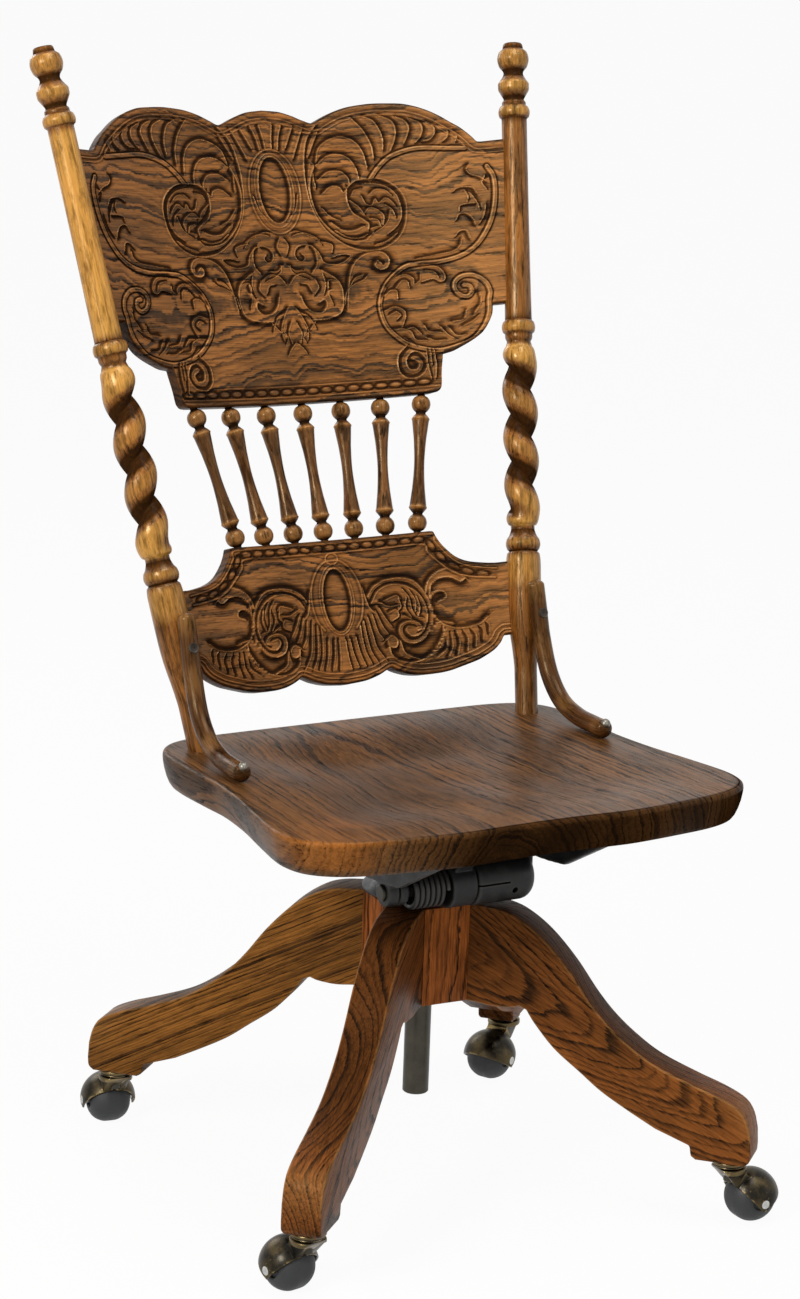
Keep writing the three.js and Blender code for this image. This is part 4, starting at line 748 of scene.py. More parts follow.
CREST_LEAVES = [
    [216.5, 541.5, 210.5, 546.5, 203, 550, 200, 555.5, 202.5, 559.5], [206.5, 530, 203.5, 535.5, 195, 537.5, 188.5,
     536.5, 185, 534], [196.5, 533.5, 198.5, 527.5, 196.5, 521.5], [201.5, 530, 206, 520.5, 207.5, 513.5],
    [203.5, 520, 196.5, 520, 189.5, 518.5, 188, 513.5], [201, 498.5, 199.5, 503.5, 194.5, 509.5, 187.5, 510, 183.5,
     504.5], [194, 485, 191.5, 492.5, 185.5, 492.5, 180.5, 488], [216.5, 546.5, 213.5, 540, 216.5, 533.5],
    [213.5, 516.5, 210.5, 506.5, 205, 498.5], [106.5, 443, 116.5, 451.5, 126.5, 453.5, 133.5, 448.5, 133.5, 443,
     139.5, 446.5, 140.5, 451.5], [115, 441.5, 121.5, 447.5, 127, 446.5, 128.5, 440],
    [143.5, 459.5, 156.5, 459.5, 163.5, 453.5, 164.5, 445.5, 159.5, 443, 153, 446.5, 142, 444.5],
    [146.5, 456, 155, 453.5, 158.5, 447.5], [101.5, 433.5, 108.5, 438.5, 115, 437.5, 115, 430],
    [100, 418.5, 110, 421.5, 118.5, 418, 120.5, 411.5, 115.5, 400.5], [106, 414.5, 111.5, 416.5, 115.5, 412.5,
     111.5, 408.5], [106.5, 398.5, 116.5, 398.5, 123.5, 394.5, 127, 386.5, 138.5, 384.5],
    [120.5, 398.5, 127, 398.5, 133.5, 391.5], [137.5, 399.5, 141.5, 393.5, 153.5, 391.5],
    [140.5, 386.5, 146.5, 383.5, 156.5, 383.5], [153.5, 396.5, 160, 388, 166.5, 383.5],
    [162, 394.5, 167.5, 387, 176.5, 386.5], [166.5, 401.5, 176.5, 403, 180.5, 411.5],
    [176.5, 396.5, 185, 400, 191.5, 405], [188, 408, 195.5, 419, 195, 428.5], [116.5, 388.5, 126.5, 380],
    [40.5, 478.5, 43.5, 471.5, 55, 469, 65, 471.5, 72, 477, 63.5, 478.5, 53.5, 476.5],
    [40, 493.5, 50, 491.5, 55, 488.5, 53.5, 481.5], [30, 500, 38.5, 496.5, 43.5, 490],
    [10, 503.5, 18.5, 505, 26.5, 501.5], [3.5, 496.5, 6.5, 490, 3.5, 481.5], [3.5, 453.5, 10, 460, 20, 461.5, 28.5,
     456.5], [31.5, 453.5, 33.5, 446.5, 28.5, 440], [40, 460, 41.5, 450, 38.5, 440],
    [45, 451.5, 43.5, 440, 46.5, 428.5], [10, 421.5, 16.5, 418.5, 21.5, 411.5, 24, 405],
    [5, 426.5, 10, 418.5, 15, 405, 13.5, 395], [10, 398.5, 17.5, 404.5, 24.5, 413],
    [3.5, 411.5, 7.5, 401.5, 5, 391.5], [3.5, 470, 10, 465, 18.5, 465], [25, 443.5, 21.5, 450, 15, 451.5],
    [30, 463.5, 35, 470, 36, 478.5], [36, 478, 35, 484, 32, 488.5, 26, 490.5, 19, 489.5, 14, 486, 12.5, 480,
     15, 475, 20, 474, 23, 478, 20, 481.5],
    [5, 470, 6, 465, 10, 461, 16, 458, 24, 455], [12, 409, 13, 403, 9, 397, 11, 392],
    [44, 440, 43, 449, 46, 454, 53, 452.5, 58, 446], [14, 501, 24, 503, 34, 500, 42, 495],
    [27, 490, 32, 489.5, 37, 484.5, 40, 480.5], [2.5, 390, 7, 385.5, 10, 381]]
LOWER_SCROLLS = [
    [34.5, 132.5, 41, 140.5, 52.5, 146, 65, 147.5, 77.5, 146.5, 87, 142, 95.5, 131, 100.5, 118.5, 101.5, 105, 96.5,
     93.5, 88.5, 84, 77.5, 80.5, 67.5, 84, 63.5, 92.5, 66, 100.5, 76, 103.5, 85, 100.5, 88.5, 95, 84, 92.5],
    [38.5, 127, 45.5, 136, 56.5, 141, 67.5, 141.5, 78.5, 138, 89, 130, 95, 117.5, 95.5, 105, 91, 95, 84, 88.5, 76,
     88, 71, 93.5, 73, 98, 80, 97], [29.5, 141, 34.5, 121.5, 41, 114.5], [96.5, 130, 100.5, 141, 109, 148.5, 120.5,
     152, 130, 148, 140.5, 140.5], [140.5, 140.5, 134, 137.5, 124.5, 142.5, 112, 142.5, 103, 136, 101.5, 124],
    [109, 120, 117, 123.5, 115, 129, 106.5, 129, 100.5, 122, 101, 110.5, 108, 99.5, 120.5, 92.5, 134, 91, 148,
     93.5, 157, 99.5], [96.5, 91, 106.5, 99.5, 120.5, 97], [48, 87, 55, 90.5, 60.5, 85.5, 58, 78.5, 51, 80, 49.5,
     85.5], [51, 80, 52.5, 71.5, 60.5, 64.5, 73, 62, 87, 64.5, 98, 71.5, 106.5, 82.5, 112, 91],
    [63.5, 84, 67.5, 71.5, 81.5, 64.5]]
LOWER_FINE = [
    [81.5, 63, 101, 71.5, 109, 85.5, 110.5, 96.5], [100.5, 64.5, 110, 71.5, 112, 80, 110, 89.5],
    [112, 63.5, 117.5, 74.5, 117.5, 88], [121.5, 64.5, 125, 77, 123, 89], [132, 67.5, 134, 80, 130, 89.5],
    [141, 71.5, 142.5, 82.5, 137, 91], [149.5, 77, 150.5, 87, 145.5, 92.5], [156.5, 84, 157, 91, 153, 96],
    [31.5, 110.5, 34.5, 93.5, 37.5, 80, 48, 63], [26.5, 107.5, 28, 91, 30.5, 77, 37, 64.5],
    [37, 113, 40.5, 96.5, 45.5, 88], [41, 116, 46, 102, 51, 93.5], [22, 107.5, 22.5, 91, 24.5, 77, 29.5, 64.5],
    [45.5, 118.5, 51.5, 107, 56.5, 99.5], [73, 135.5, 78.5, 127, 80, 114.5], [80, 134, 85, 124, 84, 113],
    [87, 127, 89, 116, 85.5, 106], [76, 127, 73.5, 117.5, 78.5, 107.5], [56.5, 114.5, 63.5, 116, 65, 109, 58, 105],
    [67.5, 127, 69, 118.5, 65, 114.5], [80, 114.5, 84, 107, 91, 105], [71.5, 109, 78.5, 105],
    [53.5, 127, 65, 130, 69, 127], [48, 124, 56.5, 120, 67.5, 121], [8.5, 91, 10.5, 77, 14.5, 63],
    [15.5, 92.5, 18, 77, 22.5, 63.5], [3.5, 91, 4.5, 74.5, 6.5, 62]]


def raised(line, up):
    """A stroke's points along an outline, moved up from it by a distance."""
    along = unit(np.gradient(line, axis=0))
    return (line + up * np.column_stack([-along[:, 1], along[:, 0]]))[6:-6:3]


def carve_crest(c, top, bottom):
    c.stroke("line", raised(top, -8.5), 1.0, mirror=False)
    c.stroke("fine", raised(top, -12.5), 0.8, mirror=False)
    c.oval("edge", 0, 547.5, 17.5, 34, 1.1)
    c.oval("fine", 0, 547, 21.5, 38, 0.8)
    c.oval("line", 0, 546, 28.5, 43, 1.1)
    for table, half, tip in ((CREST_SCROLLS, 1.15, None), (CREST_FINE, 0.75, None), (CREST_SCOOPS, 0.95, None),
                             (CREST_LEAVES, 0.9, 0.6)):
        c.strokes("edge", table, half, tip)
    c.strokes("band", CREST_STEMS, 2.5)
    c.stroke("line", [(0, 348), (60, 348), (105, 348)], 0.9)
    c.stroke("line", [(0, 337.5), (80, 337.5), (144, 337.5)], 1.0)
    for k in range(-9, 10):
        c.bead(14.8 * k - 4, 342.6, 6.7, 3.3)


def carve_lower(c, top, bottom):
    c.stroke("line", raised(bottom, 6), 1.1, mirror=False)
    c.stroke("fine", raised(bottom, 10.5), 0.9, mirror=False)
    c.stroke("line", [(0, 178.5), (60, 178.5), (100, 178.5), (105, 170), (114, 160), (128, 148), (145, 141.5),
                      (170, 138)], 1.1)
    c.stroke("line", [(0, 188.3), (60, 188.3), (109, 188.3), (114, 180), (122, 169), (133, 158), (148, 151.5),
                      (172, 147)], 1.0)
    for k in range(-7, 8):
        c.bead(13.9 * k, 183.4, 6.2, 3.6)
    for u, v, lean in ((109.5, 176.5, -62), (118, 164.5, -50), (130, 153.5, -36), (143.5, 147, -20), (158, 143, -10)):
        for side in (1, -1):
            c.bead(side * u, v, 6.6, 3.3, side * math.radians(lean))
    c.oval("edge", 0, 131, 15.5, 31.5, 1.1)
    c.oval("fine", 0, 131.5, 19, 35, 0.8)
    c.stroke("line", [(0, 171), (10, 169), (20, 160), (27, 145), (28.5, 128), (25, 112), (18, 102)], 1.2)
    c.oval("line", 0, 172.5, 6.8, 5.6, 1.0, 14)
    c.strokes("edge", LOWER_SCROLLS, 1.2)
    c.strokes("edge", LOWER_FINE, 1.0, 0.7)


def bend_at(shape, u, v):
    """How far the middle of a panel stands behind the plane of the posts."""
    return (post_x(v) ** 2 - u**2) / (2 * shape["bend"]) + shape["end"]


def panel(name, node, shape, tables, carve, offset):
    """A bent board: rows climb its front face, go over its top edge and come down its plain rear."""
    lines = [np.vstack([rows(table) * [shape["half"], shape["high"]] + [0, shape["bottom"]], [post_x(v) - 8, v]])
             for table, v in zip(tables, shape["shoulders"][::-1])]
    knots = np.arange(len(lines[0]))
    even = np.arange(0, lines[0][-1, 0], RELIEF_STEP)
    fine = np.unique(np.concatenate([np.interp(even, lines[0][:, 0], knots), knots]))
    halves = [np.column_stack([monotone(knots, line[:, k], fine) for k in (0, 1)]) for line in lines]
    top, bottom = (np.vstack([half[:0:-1] * [-1, 1], half]) for half in halves)
    tall = np.linalg.norm(top - bottom, axis=1)
    count = int(shape["high"] / RELIEF_STEP)
    rounding = [(PANEL_ROUND * (1 - math.cos(a)), PANEL_ROUND * (1 - math.sin(a)) - PANEL_THICK / 2)
                for a in np.radians([0, 30, 60])]
    section = [(np.full(len(top), up), back) for up, back in rounding]
    section += [(PANEL_ROUND + (tall - 2 * PANEL_ROUND) * t, -PANEL_THICK / 2) for t in np.linspace(0, 1, count)]
    section += [(tall - up, back) for up, back in rounding[::-1]]
    section += [(tall, 7.6), (tall - 1.4, 9.0)] + [(tall * t, 9.0) for t in (0.9, 0.7, 0.5, 0.3, 0.1)]
    section += [(np.full(len(top), 1.4), 9.0), (np.zeros(len(top)), 7.6)]
    climb = np.array([up for up, _ in section]).T
    depth = np.broadcast_to(rows([back for _, back in section]), climb.shape)
    share = (climb / tall[:, None])[..., None]
    uv = bottom[:, None] * (1 - share) + top[:, None] * share
    u, v = uv[..., 0], uv[..., 1]
    face = (slice(None), slice(len(rounding), len(rounding) + count))
    carving = Carving(u[face], v[face])
    carve(carving, top, bottom)
    edge = np.minimum(climb, tall[:, None] - climb)[face]
    inside = smoothstep(PANEL_ROUND, PANEL_ROUND + 1.5, edge)
    height, wear_and_painted_light = (field.reshape(edge.shape) * inside for field in carving.relief())
    relief, tone = np.zeros_like(u), np.full_like(u, -0.7)
    relief[face] = height
    # The carving's tone carries its painted highlight and shade; the panels are also darker to the left and lighter
    # to the right
    dark_left, bright_right = 0.2 * smoothstep(40, -190, u[face]), 0.14 * smoothstep(60, 190, u[face])
    tone[face] = np.clip(wear_and_painted_light / 0.95, -1, 1) - dark_left + bright_right
    points = from_back(u, bend_at(shape, u, v) + depth - relief, v)
    wood = np.stack([u + offset[0], v + offset[1], depth + offset[2]], -1).reshape(-1, 3)
    return piece(name, skin(points), "seat", [node], "dark_oak", crest_oak, wood=wood, tone=tone.ravel(), sharp=50)


panel("carved_crest", "crest_panel", CREST, (CREST_TOP, CREST_BOTTOM), carve_crest, (0, -438, 0))
panel("carved_lower_rail", "lower_panel", LOWER, (LOWER_TOP, LOWER_BOTTOM), carve_lower, (700, -90, 5))


# Balusters

BALL, WAIST, BALUSTER_GAP, BALUSTER_SIDES = 9.6, 5.2, 0.3, 40
LOW_PITCH, HIGH_PITCH = 34.4, 42.3
BALUSTER_HALF = [[3.6, -14], [3.6, -9.0], [6.8, -6.9], [9.0, -3.4], [9.6, 0], [9.0, 3.4], [6.8, 6.9], [5.0, 8.5],
                 [4.9, 9.8], [6.3, 11.4], [8.8, 14.6], [9.2, 15.5], [8.7, 16.8], [8.0, 22], [7.2, 29], [6.4, 36]]


def baluster(index):
    """The seven fan out from the lower panel to the crest. Each is the same above and below its waist."""
    step = index - 3
    low_u, high_u = step * LOW_PITCH, step * HIGH_PITCH
    low_v = LOWER["bottom"] + LOWER["high"] + BALL + BALUSTER_GAP
    high_v = CREST["bottom"] - BALL - BALUSTER_GAP
    low = from_back(rows(low_u), bend_at(LOWER, low_u, low_v), rows(low_v))
    high = from_back(rows(high_u), bend_at(CREST, high_u, high_v), rows(high_v))
    long = np.linalg.norm(high - low)
    half = rows(BALUSTER_HALF)
    profile = np.vstack([half, [[WAIST, long / 2]], np.column_stack([half[:, 0], long - half[:, 1]])[::-1]])
    smooth = sampled(profile, 1.2)
    v, faces = lathe(smooth, BALUSTER_SIDES)
    along = unit(high - low)
    side = unit(np.cross(along, rows([0, 1, 0])))
    other = np.cross(along, side)
    points = low + v[:, :1] * side + v[:, 1:2] * other + v[:, 2:] * along
    # Painted shade in the quirks of the turning, and a painted highlight with wear on its crests
    tone = np.repeat(hollow_tone(smooth[:, 0], smooth[:, 1], 6, 1.8), BALUSTER_SIDES)
    wood = np.column_stack([v[:, 2] + 300 * index, v[:, 0] + 7, v[:, 1] + 5])
    piece(f"turned_baluster_{index + 1}", (points, faces), "seat", [f"baluster_{index + 1}"], "gold_oak",
          baluster_oak, wood=wood, tone=tone, sharp=50)


for number in range(7):
    baluster(number)


# Hip braces

BRACE_X, BRACE_FOOT_X, BRACE_R, BRACE_SIDES = post_x(101), 200.0, 9.0, 40
SUNK_SCREW = [[0.01, 0.5], [1.0, 0.5], [1.05, 1.2], [3.4, 1.5], [4.6, 2.1], [5.0, 1.2], [5.0, -1.5], [0.01, -1.5]]
DOME_SCREW = [[0.01, 3.3], [1.8, 3.0], [3.4, 2.2], [4.5, 0.9], [4.8, -0.4], [4.8, -2], [0.01, -2]]
# The bend's points, as shares of the way up from the seat to the post: along and up
BRACE_BEND = ((0.83, 0.5), (0.59, 0.17), (0.29, 0.03))
# Where the brace is rubbed: how much, how far from its upper end, over what reach
BRACE_RUBBED = ((0.55, 6, 20), (0.4, 66, 26), (0.45, 140, 22), (0.4, 196, 12))


def brace(side):
    """From the front of a post down and forward to the seat, with a screw at each end."""
    r = BRACE_R
    ahead = -(POST_R + r + 0.3)
    foot_z = SEAT_TOP + r + 0.3
    lands, ends = rows([BRACE_FOOT_X, 18, foot_z]), rows([BRACE_FOOT_X, -6, foot_z])
    on_post = [from_back(rows(BRACE_X), rows(ahead), rows(v)) - [0, SPIN_Y, 0] for v in (130.0, 101.0, 72.0)]
    bent = [lands + (on_post[-1] - lands) * [along, along, up] for along, up in BRACE_BEND]
    path = through([*on_post, *bent, lands, ends], 1.5)
    far = np.arange(len(path)) * 1.5
    from_end = np.minimum(far, far[-1] - far)
    nose = 6.0
    radii = r * np.sqrt(np.clip(1 - (1 - np.minimum(1, (from_end + 0.15) / nose)) ** 2, 0.01, 1))
    v, faces = sweep(path, radii, BRACE_SIDES, up=(1, 0, 0))
    around = np.tile(np.arange(BRACE_SIDES) / BRACE_SIDES * 2 * math.pi, len(path))
    wood = np.column_stack([np.repeat(far, BRACE_SIDES) + 50 * side, r * np.cos(around) + 5,
                            r * np.sin(around) + 9 * side])
    v = v * [side, 1, 1] + [0, SPIN_Y, 0]
    rubbed = sum(share * np.exp(-((far - at) / reach) ** 2) for share, at, reach in BRACE_RUBBED)
    tone = np.repeat(rubbed - 0.25, BRACE_SIDES)
    label, node = ("right", "right_hip_brace") if side > 0 else ("left", "left_hip_brace")
    piece(f"bent_brace_{label}", (v, faces), "seat", [node], "gold_oak", brace_oak, wood=wood, tone=tone, sharp=60)
    # A sunk screw goes through the brace into the post, a domed one down into the seat
    sunk, dome = lathe(SUNK_SCREW, 28), lathe(DOME_SCREW, 28)
    forward = rows([0, -math.cos(BACK_RAKE), math.sin(BACK_RAKE)])
    up = rows([0, math.sin(BACK_RAKE), math.cos(BACK_RAKE)])
    spots = (
        ("upper", sunk, screw_steel, from_back(rows(BRACE_X * side), rows(ahead - r + 0.9), rows(96.0)), forward, up),
        ("lower", dome, worn_steel, rows([BRACE_FOOT_X * side, SPIN_Y - 3.9, foot_z + 6.7]), rows([0, -0.78, 0.626]),
         rows([0, 0.626, 0.78])))
    for where, (hv, hf), metal_of, at, out, over in spots:
        across = np.cross(over, out)
        points = at + hv[:, :1] * across + hv[:, 1:2] * over + hv[:, 2:] * out
        piece(f"brace_screw_{label}_{where}", (points, hf), "seat", [], "black_iron", metal_of)


brace(1)
brace(-1)


# Seat

SEAT_HALF = [
    [0, 1], [0.25, 0.999], [0.504, 0.997], [0.693, 0.991], [0.819, 0.965], [0.891, 0.91], [0.916, 0.826],
    [0.916, 0.697], [0.912, 0.595], [0.933, 0.467], [0.966, 0.351], [0.996, 0.236], [1, 0.172], [0.975, 0.113],
    [0.908, 0.069], [0.798, 0.038], [0.63, 0.018], [0.387, 0], [0.168, 0.004], [0, 0.006]]


# How much painted shade the seat's front edge takes, from left to right; the lit left corner takes none
EDGE_PAINTED_SHADE = [(-215, 0.0), (-170, -0.15), (-120, -0.6), (-60, -0.9), (60, -0.85), (150, -0.65), (230, -0.8)]


# The edge's section from the underside up: how far in from the outline, how high. It ends on the top
SEAT_SECTION = [
    (SEAT_UNDERCUT + 1, 0), (SEAT_UNDERCUT, 0.5), (6.4, 4), (3.8, 10), (1.5, 18), (0.3, 25), (0, 28.5), (0.2, 30.8),
    (1.0, 32.6), (2.3, 33.6), (4.4, SEAT_THICK)]


def seat():
    """Rings climb the edge and then shrink over the top, which is hollowed on both sides of a low pommel."""
    half = rows(SEAT_HALF) * [SEAT_HALF_WIDE, SEAT_BACK_Y - SEAT_FRONT_Y] + [0, SEAT_FRONT_Y]
    loop = np.vstack([half, half[-2:0:-1] * [-1, 1]])
    outline = through(loop, 3.2, closed=True)[:-1]
    centre = rows([0, SEAT_MIDDLE_Y])
    arm = outline - centre
    long = np.linalg.norm(arm, axis=1)
    bottom = SEAT_TOP - SEAT_THICK
    rings, tones = [], []
    front = smoothstep(SEAT_FRONT_Y + 150, SEAT_FRONT_Y + 50, outline[:, 1])
    painted_edge_shade = np.interp(outline[:, 0], *zip(*EDGE_PAINTED_SHADE))
    for inset, up in SEAT_SECTION:
        rings.append(np.column_stack([centre + arm * (1 - inset / long)[:, None], np.full(len(arm), bottom + up)]))
        # The edge takes painted shade, most at the front, and the arris under the top a painted highlight with its
        # wear
        tones.append(front * painted_edge_shade - 0.35 * (1 - front) + (0.2 if 30 < up < 34 else 0.0))
    flat = arm * (1 - SEAT_SECTION[-1][0] / long)[:, None]
    for share in np.concatenate([np.linspace(0.985, 0.9, 7), np.linspace(0.885, 0.02, 62)]):
        p = centre + flat * share
        x, y = p[:, 0], p[:, 1]
        hollow = 1 - smoothstep(0.3, 0.9, share)
        ridge = np.exp(-((x / 46) ** 2)) * smoothstep(0, 110, SEAT_MIDDLE_Y - y)
        rings.append(np.column_stack([p, SEAT_TOP - SEAT_DISH * hollow + SEAT_POMMEL * ridge * hollow]))
        tones.append(np.zeros(len(arm)))
    v, faces = skin(np.stack(rings))
    # The left front corner is rubbed and lit: wear with a painted highlight, weaker on the top
    worn_and_lit_corner = np.exp(-((v[:, 0] + 205) / 40) ** 2 - ((v[:, 1] - SEAT_FRONT_Y - 40) / 55) ** 2)
    wear = np.concatenate(tones) + np.where(v[:, 2] > bottom + 33.5, 0.25, 0.6) * worn_and_lit_corner * (v[:, 2] > bottom + 8)
    wood = np.column_stack([v[:, 1] + 400, v[:, 0] + 59, v[:, 2] - SEAT_TOP + 12])
    piece("saddle_seat", about_spindle((v, faces)), "seat", ["seat_board"], "seat_oak", seat_oak, wood=wood,
          tone=wear, sharp=50)


seat()


# Base

LEG_TOP_TABLE = [
    [0.177, 1], [0.251, 0.987], [0.307, 0.956], [0.375, 0.884], [0.448, 0.769], [0.513, 0.64], [0.569, 0.547],
    [0.634, 0.467], [0.708, 0.398], [0.811, 0.338], [0.9, 0.293], [0.959, 0.249], [0.985, 0.196], [0.997, 0.129]]
LEG_TOE = [[1, 0.06], [0.997, 0.02], [0.982, 0], [0.844, 0], [0.829, 0.013], [0.8245, 0.058]]
LEG_UNDER = [[0.723, 0.111], [0.634, 0.18], [0.56, 0.244], [0.496, 0.316], [0.419, 0.404], [0.36, 0.502],
             [0.333, 0.56]]
LEG_HEEL = [[0.313, 0.573], [0.289, 0.562], [0.236, 0.556], [0.183, 0.564], [0, 0.578]]
LEG_EASE, LEG_GAP, COLUMN_R, SOCKET_R, CASTER_AT, BLOCK_BOTTOM, BLOCK_REACH = 2.4, 0.3, 13, 6.9, 315, 194, 54.2


def leg_outline():
    place_on = lambda table: rows(table) * [LEG_REACH, LEG_TOP - PAD_BOTTOM] + [0, PAD_BOTTOM]
    top, under = through(place_on(LEG_TOP_TABLE), 5), through(place_on(LEG_UNDER), 5)
    toe = through(place_on(LEG_TOE)[:3], 2)
    return np.vstack([[[0, LEG_TOP]], top, toe, place_on(LEG_TOE)[3:], under, through(place_on(LEG_HEEL)[:4], 3),
                      place_on(LEG_HEEL)[4:]])


def leg(k):
    """A sawn board with eased edges, pointed where the four meet, and bored for the column and its caster."""
    half, tip = LEG_THICK / 2, LEG_GAP / math.sqrt(2)
    flat, faces = prism(leg_outline(), -half, half)
    board = eased(scratch(f"sawn_leg_{k + 1}", (flat[:, [0, 2, 1]], faces)), LEG_EASE, 3, 50)
    plan = [(tip, 0), (half + tip, -half), (half + tip, -LEG_THICK), (345, -LEG_THICK), (345, LEG_THICK),
            (half + tip, LEG_THICK), (half + tip, half)]
    cut(board, prism(plan, 0, 300), operation="INTERSECT")
    column, socket = lathe([[COLUMN_R, 100], [COLUMN_R, 300]], 48), lathe([[SOCKET_R, 50], [SOCKET_R, 96.3]], 32)
    cut(board, column, moved(socket, None, (CASTER_AT, 0, 0)))
    v = corners_of(board)
    lean = math.radians(-27)
    along = v[:, 0] * math.cos(lean) + v[:, 2] * math.sin(lean)
    over = -v[:, 0] * math.sin(lean) + v[:, 2] * math.cos(lean)
    wood = np.column_stack([along + 500 * k, over - 238 + (140 if k == 2 else 9 * k), v[:, 1] * (1 if k % 2 else -1)])
    # Rubbed on the long edges and the toe, dirty at the pad and on the upper face
    off_middle = np.abs(v[:, 1])
    edge = (half - off_middle < LEG_EASE - 0.1) & (off_middle < half - 0.05) & (v[:, 2] > 90)
    tone = 0.35 * edge + 0.15 * smoothstep(300, 335, v[:, 0])
    tone -= 0.2 * smoothstep(110, 70, v[:, 2]) * (v[:, 0] > 250)
    tone -= 0.5 * (off_middle < half - LEG_EASE + 0.05) * smoothstep(330, 250, v[:, 0])
    v[:, 0] -= 0.8 * smoothstep(200, 345, v[:, 0])
    put_corners(board, place(v, BASE_TURN + 90 * k))
    finish_piece(board, "base", [f"leg_{k + 1}"], "base_oak", split_oak if k == 2 else base_oak, wood=wood, tone=tone,
                 sharp=40)


def hub_block(k):
    """A three-cornered block between two legs, cut higher near the column."""
    inner = LEG_THICK / 2 + LEG_GAP
    corner = [(inner, inner), (BLOCK_REACH, inner), (inner, BLOCK_REACH)]
    v, faces = prism(corner, BLOCK_BOTTOM, LEG_TOP)
    block = eased(scratch(f"corner_block_{k + 1}", (v, faces)), 1.0, 2)
    v = corners_of(block)
    out = np.hypot(v[:, 0], v[:, 1])
    v[:, 2] += np.where(v[:, 2] < BLOCK_BOTTOM + 6, 0.25 * np.maximum(0, 47 - out), 0)
    wood = np.column_stack([v[:, 2] + 200 * k, (v[:, 0] - v[:, 1]) * 0.7 + 30 * k, (v[:, 0] + v[:, 1]) * 0.7 + 25])
    put_corners(block, place(v, BASE_TURN + 90 * k))
    finish_piece(block, "base", [f"hub_block_{k + 1}"], "base_oak", block_oak, wood=wood, sharp=30)


for number in range(4):
    leg(number)
    hub_block(number)


TUBE_R, BORE = 12.7, 10.2
TUBE = [[BORE, 87.9], [BORE + 0.4, 87.7], [TUBE_R - 0.9, 87.7], [TUBE_R, 88.7], [TUBE_R, 290.8], [BORE, 290.8]]
HUB_PLATE = [[BORE, 291.3], [49.4, 291.3], [50, 291.9], [50, 293.8], [49, 294.8], [BORE, 294.8]]
piece("drawn_guide_tube", about_spindle(lathe(TUBE, 64, loop=True)), "base", ["guide_tube"], "steel", steel, sharp=30)
piece("cast_hub_plate", about_spindle(lathe(HUB_PLATE, 96, loop=True)), "base", ["hub_plate"], "black_iron",
      black_iron, sharp=30)


def thread(r=9.5, pitch=6.0, low=115.0, high=339.4, sides=48):
    angle = np.arange(sides) / sides * 2 * math.pi
    z = np.arange(low, high, 0.75)
    wave = np.abs((z[:, None] / pitch - angle[None] / (2 * math.pi)) % 1 * 2 - 1)
    radius = r - 1.3 * smoothstep(0.15, 0.85, wave) * smoothstep(low, low + 3, z)[:, None]
    grid = np.stack([radius * np.cos(angle), radius * np.sin(angle), np.repeat(z[:, None], sides, 1)], -1)
    piece("threaded_spindle", about_spindle(skin(grid)), "spindle", ["spindle_screw"], "steel", steel, sharp=60)


thread()


# Casters

SOCKET_TOP, FLANGE, COLLAR, PIN_HOLE = PAD_BOTTOM - 0.3, 6.8, 5.2, 5.3
SOCKET_BOTTOM = SOCKET_TOP - FLANGE
COLLAR_TOP = SOCKET_BOTTOM - 0.5
COLLAR_BOTTOM = COLLAR_TOP - COLLAR
COLLAR_PROFILE = [
    [15.6, COLLAR_BOTTOM], [16.6, COLLAR_BOTTOM + 0.5], [17, COLLAR_BOTTOM + 1.4], [17, COLLAR_TOP - 0.8],
    [16.4, COLLAR_TOP]]
# The neck's outline as shares: ahead from the pin to the axle, up from the axle to the collar
NECK = [
    [-0.483, 1.03], [-0.43, 0.86], [-0.25, 0.70], [0.1, 0.55], [0.414, 0.42], [0.9, 0.3], [1.07, 0.69],
    [0.79, 0.77], [0.6, 0.86], [0.50, 0.95], [0.483, 1.03]]
SOCKET = [
    [PIN_HOLE, SOCKET_BOTTOM], [13.4, SOCKET_BOTTOM], [14.6, SOCKET_BOTTOM + 0.5], [15.2, 60.3], [14.7, 61.2],
    [14.9, 61.8], [16.4, 62.2], [17, 63.2], [17, 64.6], [16.4, 65.5], [15.6, SOCKET_TOP], [6.6, SOCKET_TOP],
    [6.6, 95.5], [6.1, 96], [PIN_HOLE, 96]]


def on_axle(solid):
    """From Z to the wheel's axle, ahead of the pin."""
    return moved(solid, turn("X", 90), (TRAIL, 0, WHEEL_R))


def caster_hood():
    """A hollow ball, open below and behind one side, with the neck and collar that the pin turns in."""
    a = np.linspace(0.03, math.pi - 0.03, 48)
    ball = lambda r: on_axle(lathe(np.column_stack([r * np.sin(a), -r * np.cos(a)]), 72))
    at = (TRAIL, 0, WHEEL_R)
    v, faces = prism(rows(NECK) * [TRAIL, COLLAR_BOTTOM - WHEEL_R] + [0, WHEEL_R], -11.5, 11.5)
    hood = scratch("caster_hood_form", ball(HOOD_R))
    cut(hood, (v[:, [0, 2, 1]], faces), lathe(COLLAR_PROFILE, 64), operation="UNION")
    wide = 2 * HOOD_R
    ahead = moved(box(-wide, -6.5, -wide, wide, -wide, wide), turn("Y", -42), at)
    behind = moved(box(6.5, wide, -wide, wide, -wide, wide), turn("Y", 60), at)
    pin_hole = lathe([[PIN_HOLE, WHEEL_R], [PIN_HOLE, COLLAR_TOP + 5]], 32)
    axle_hole = on_axle(lathe([[4.3, -wide], [4.3, wide]], 32))
    cut(hood, ball(HOOD_R - HOOD_WALL), ahead, behind, pin_hole, axle_hole)
    return eased(hood, 0.35, 2, 45)


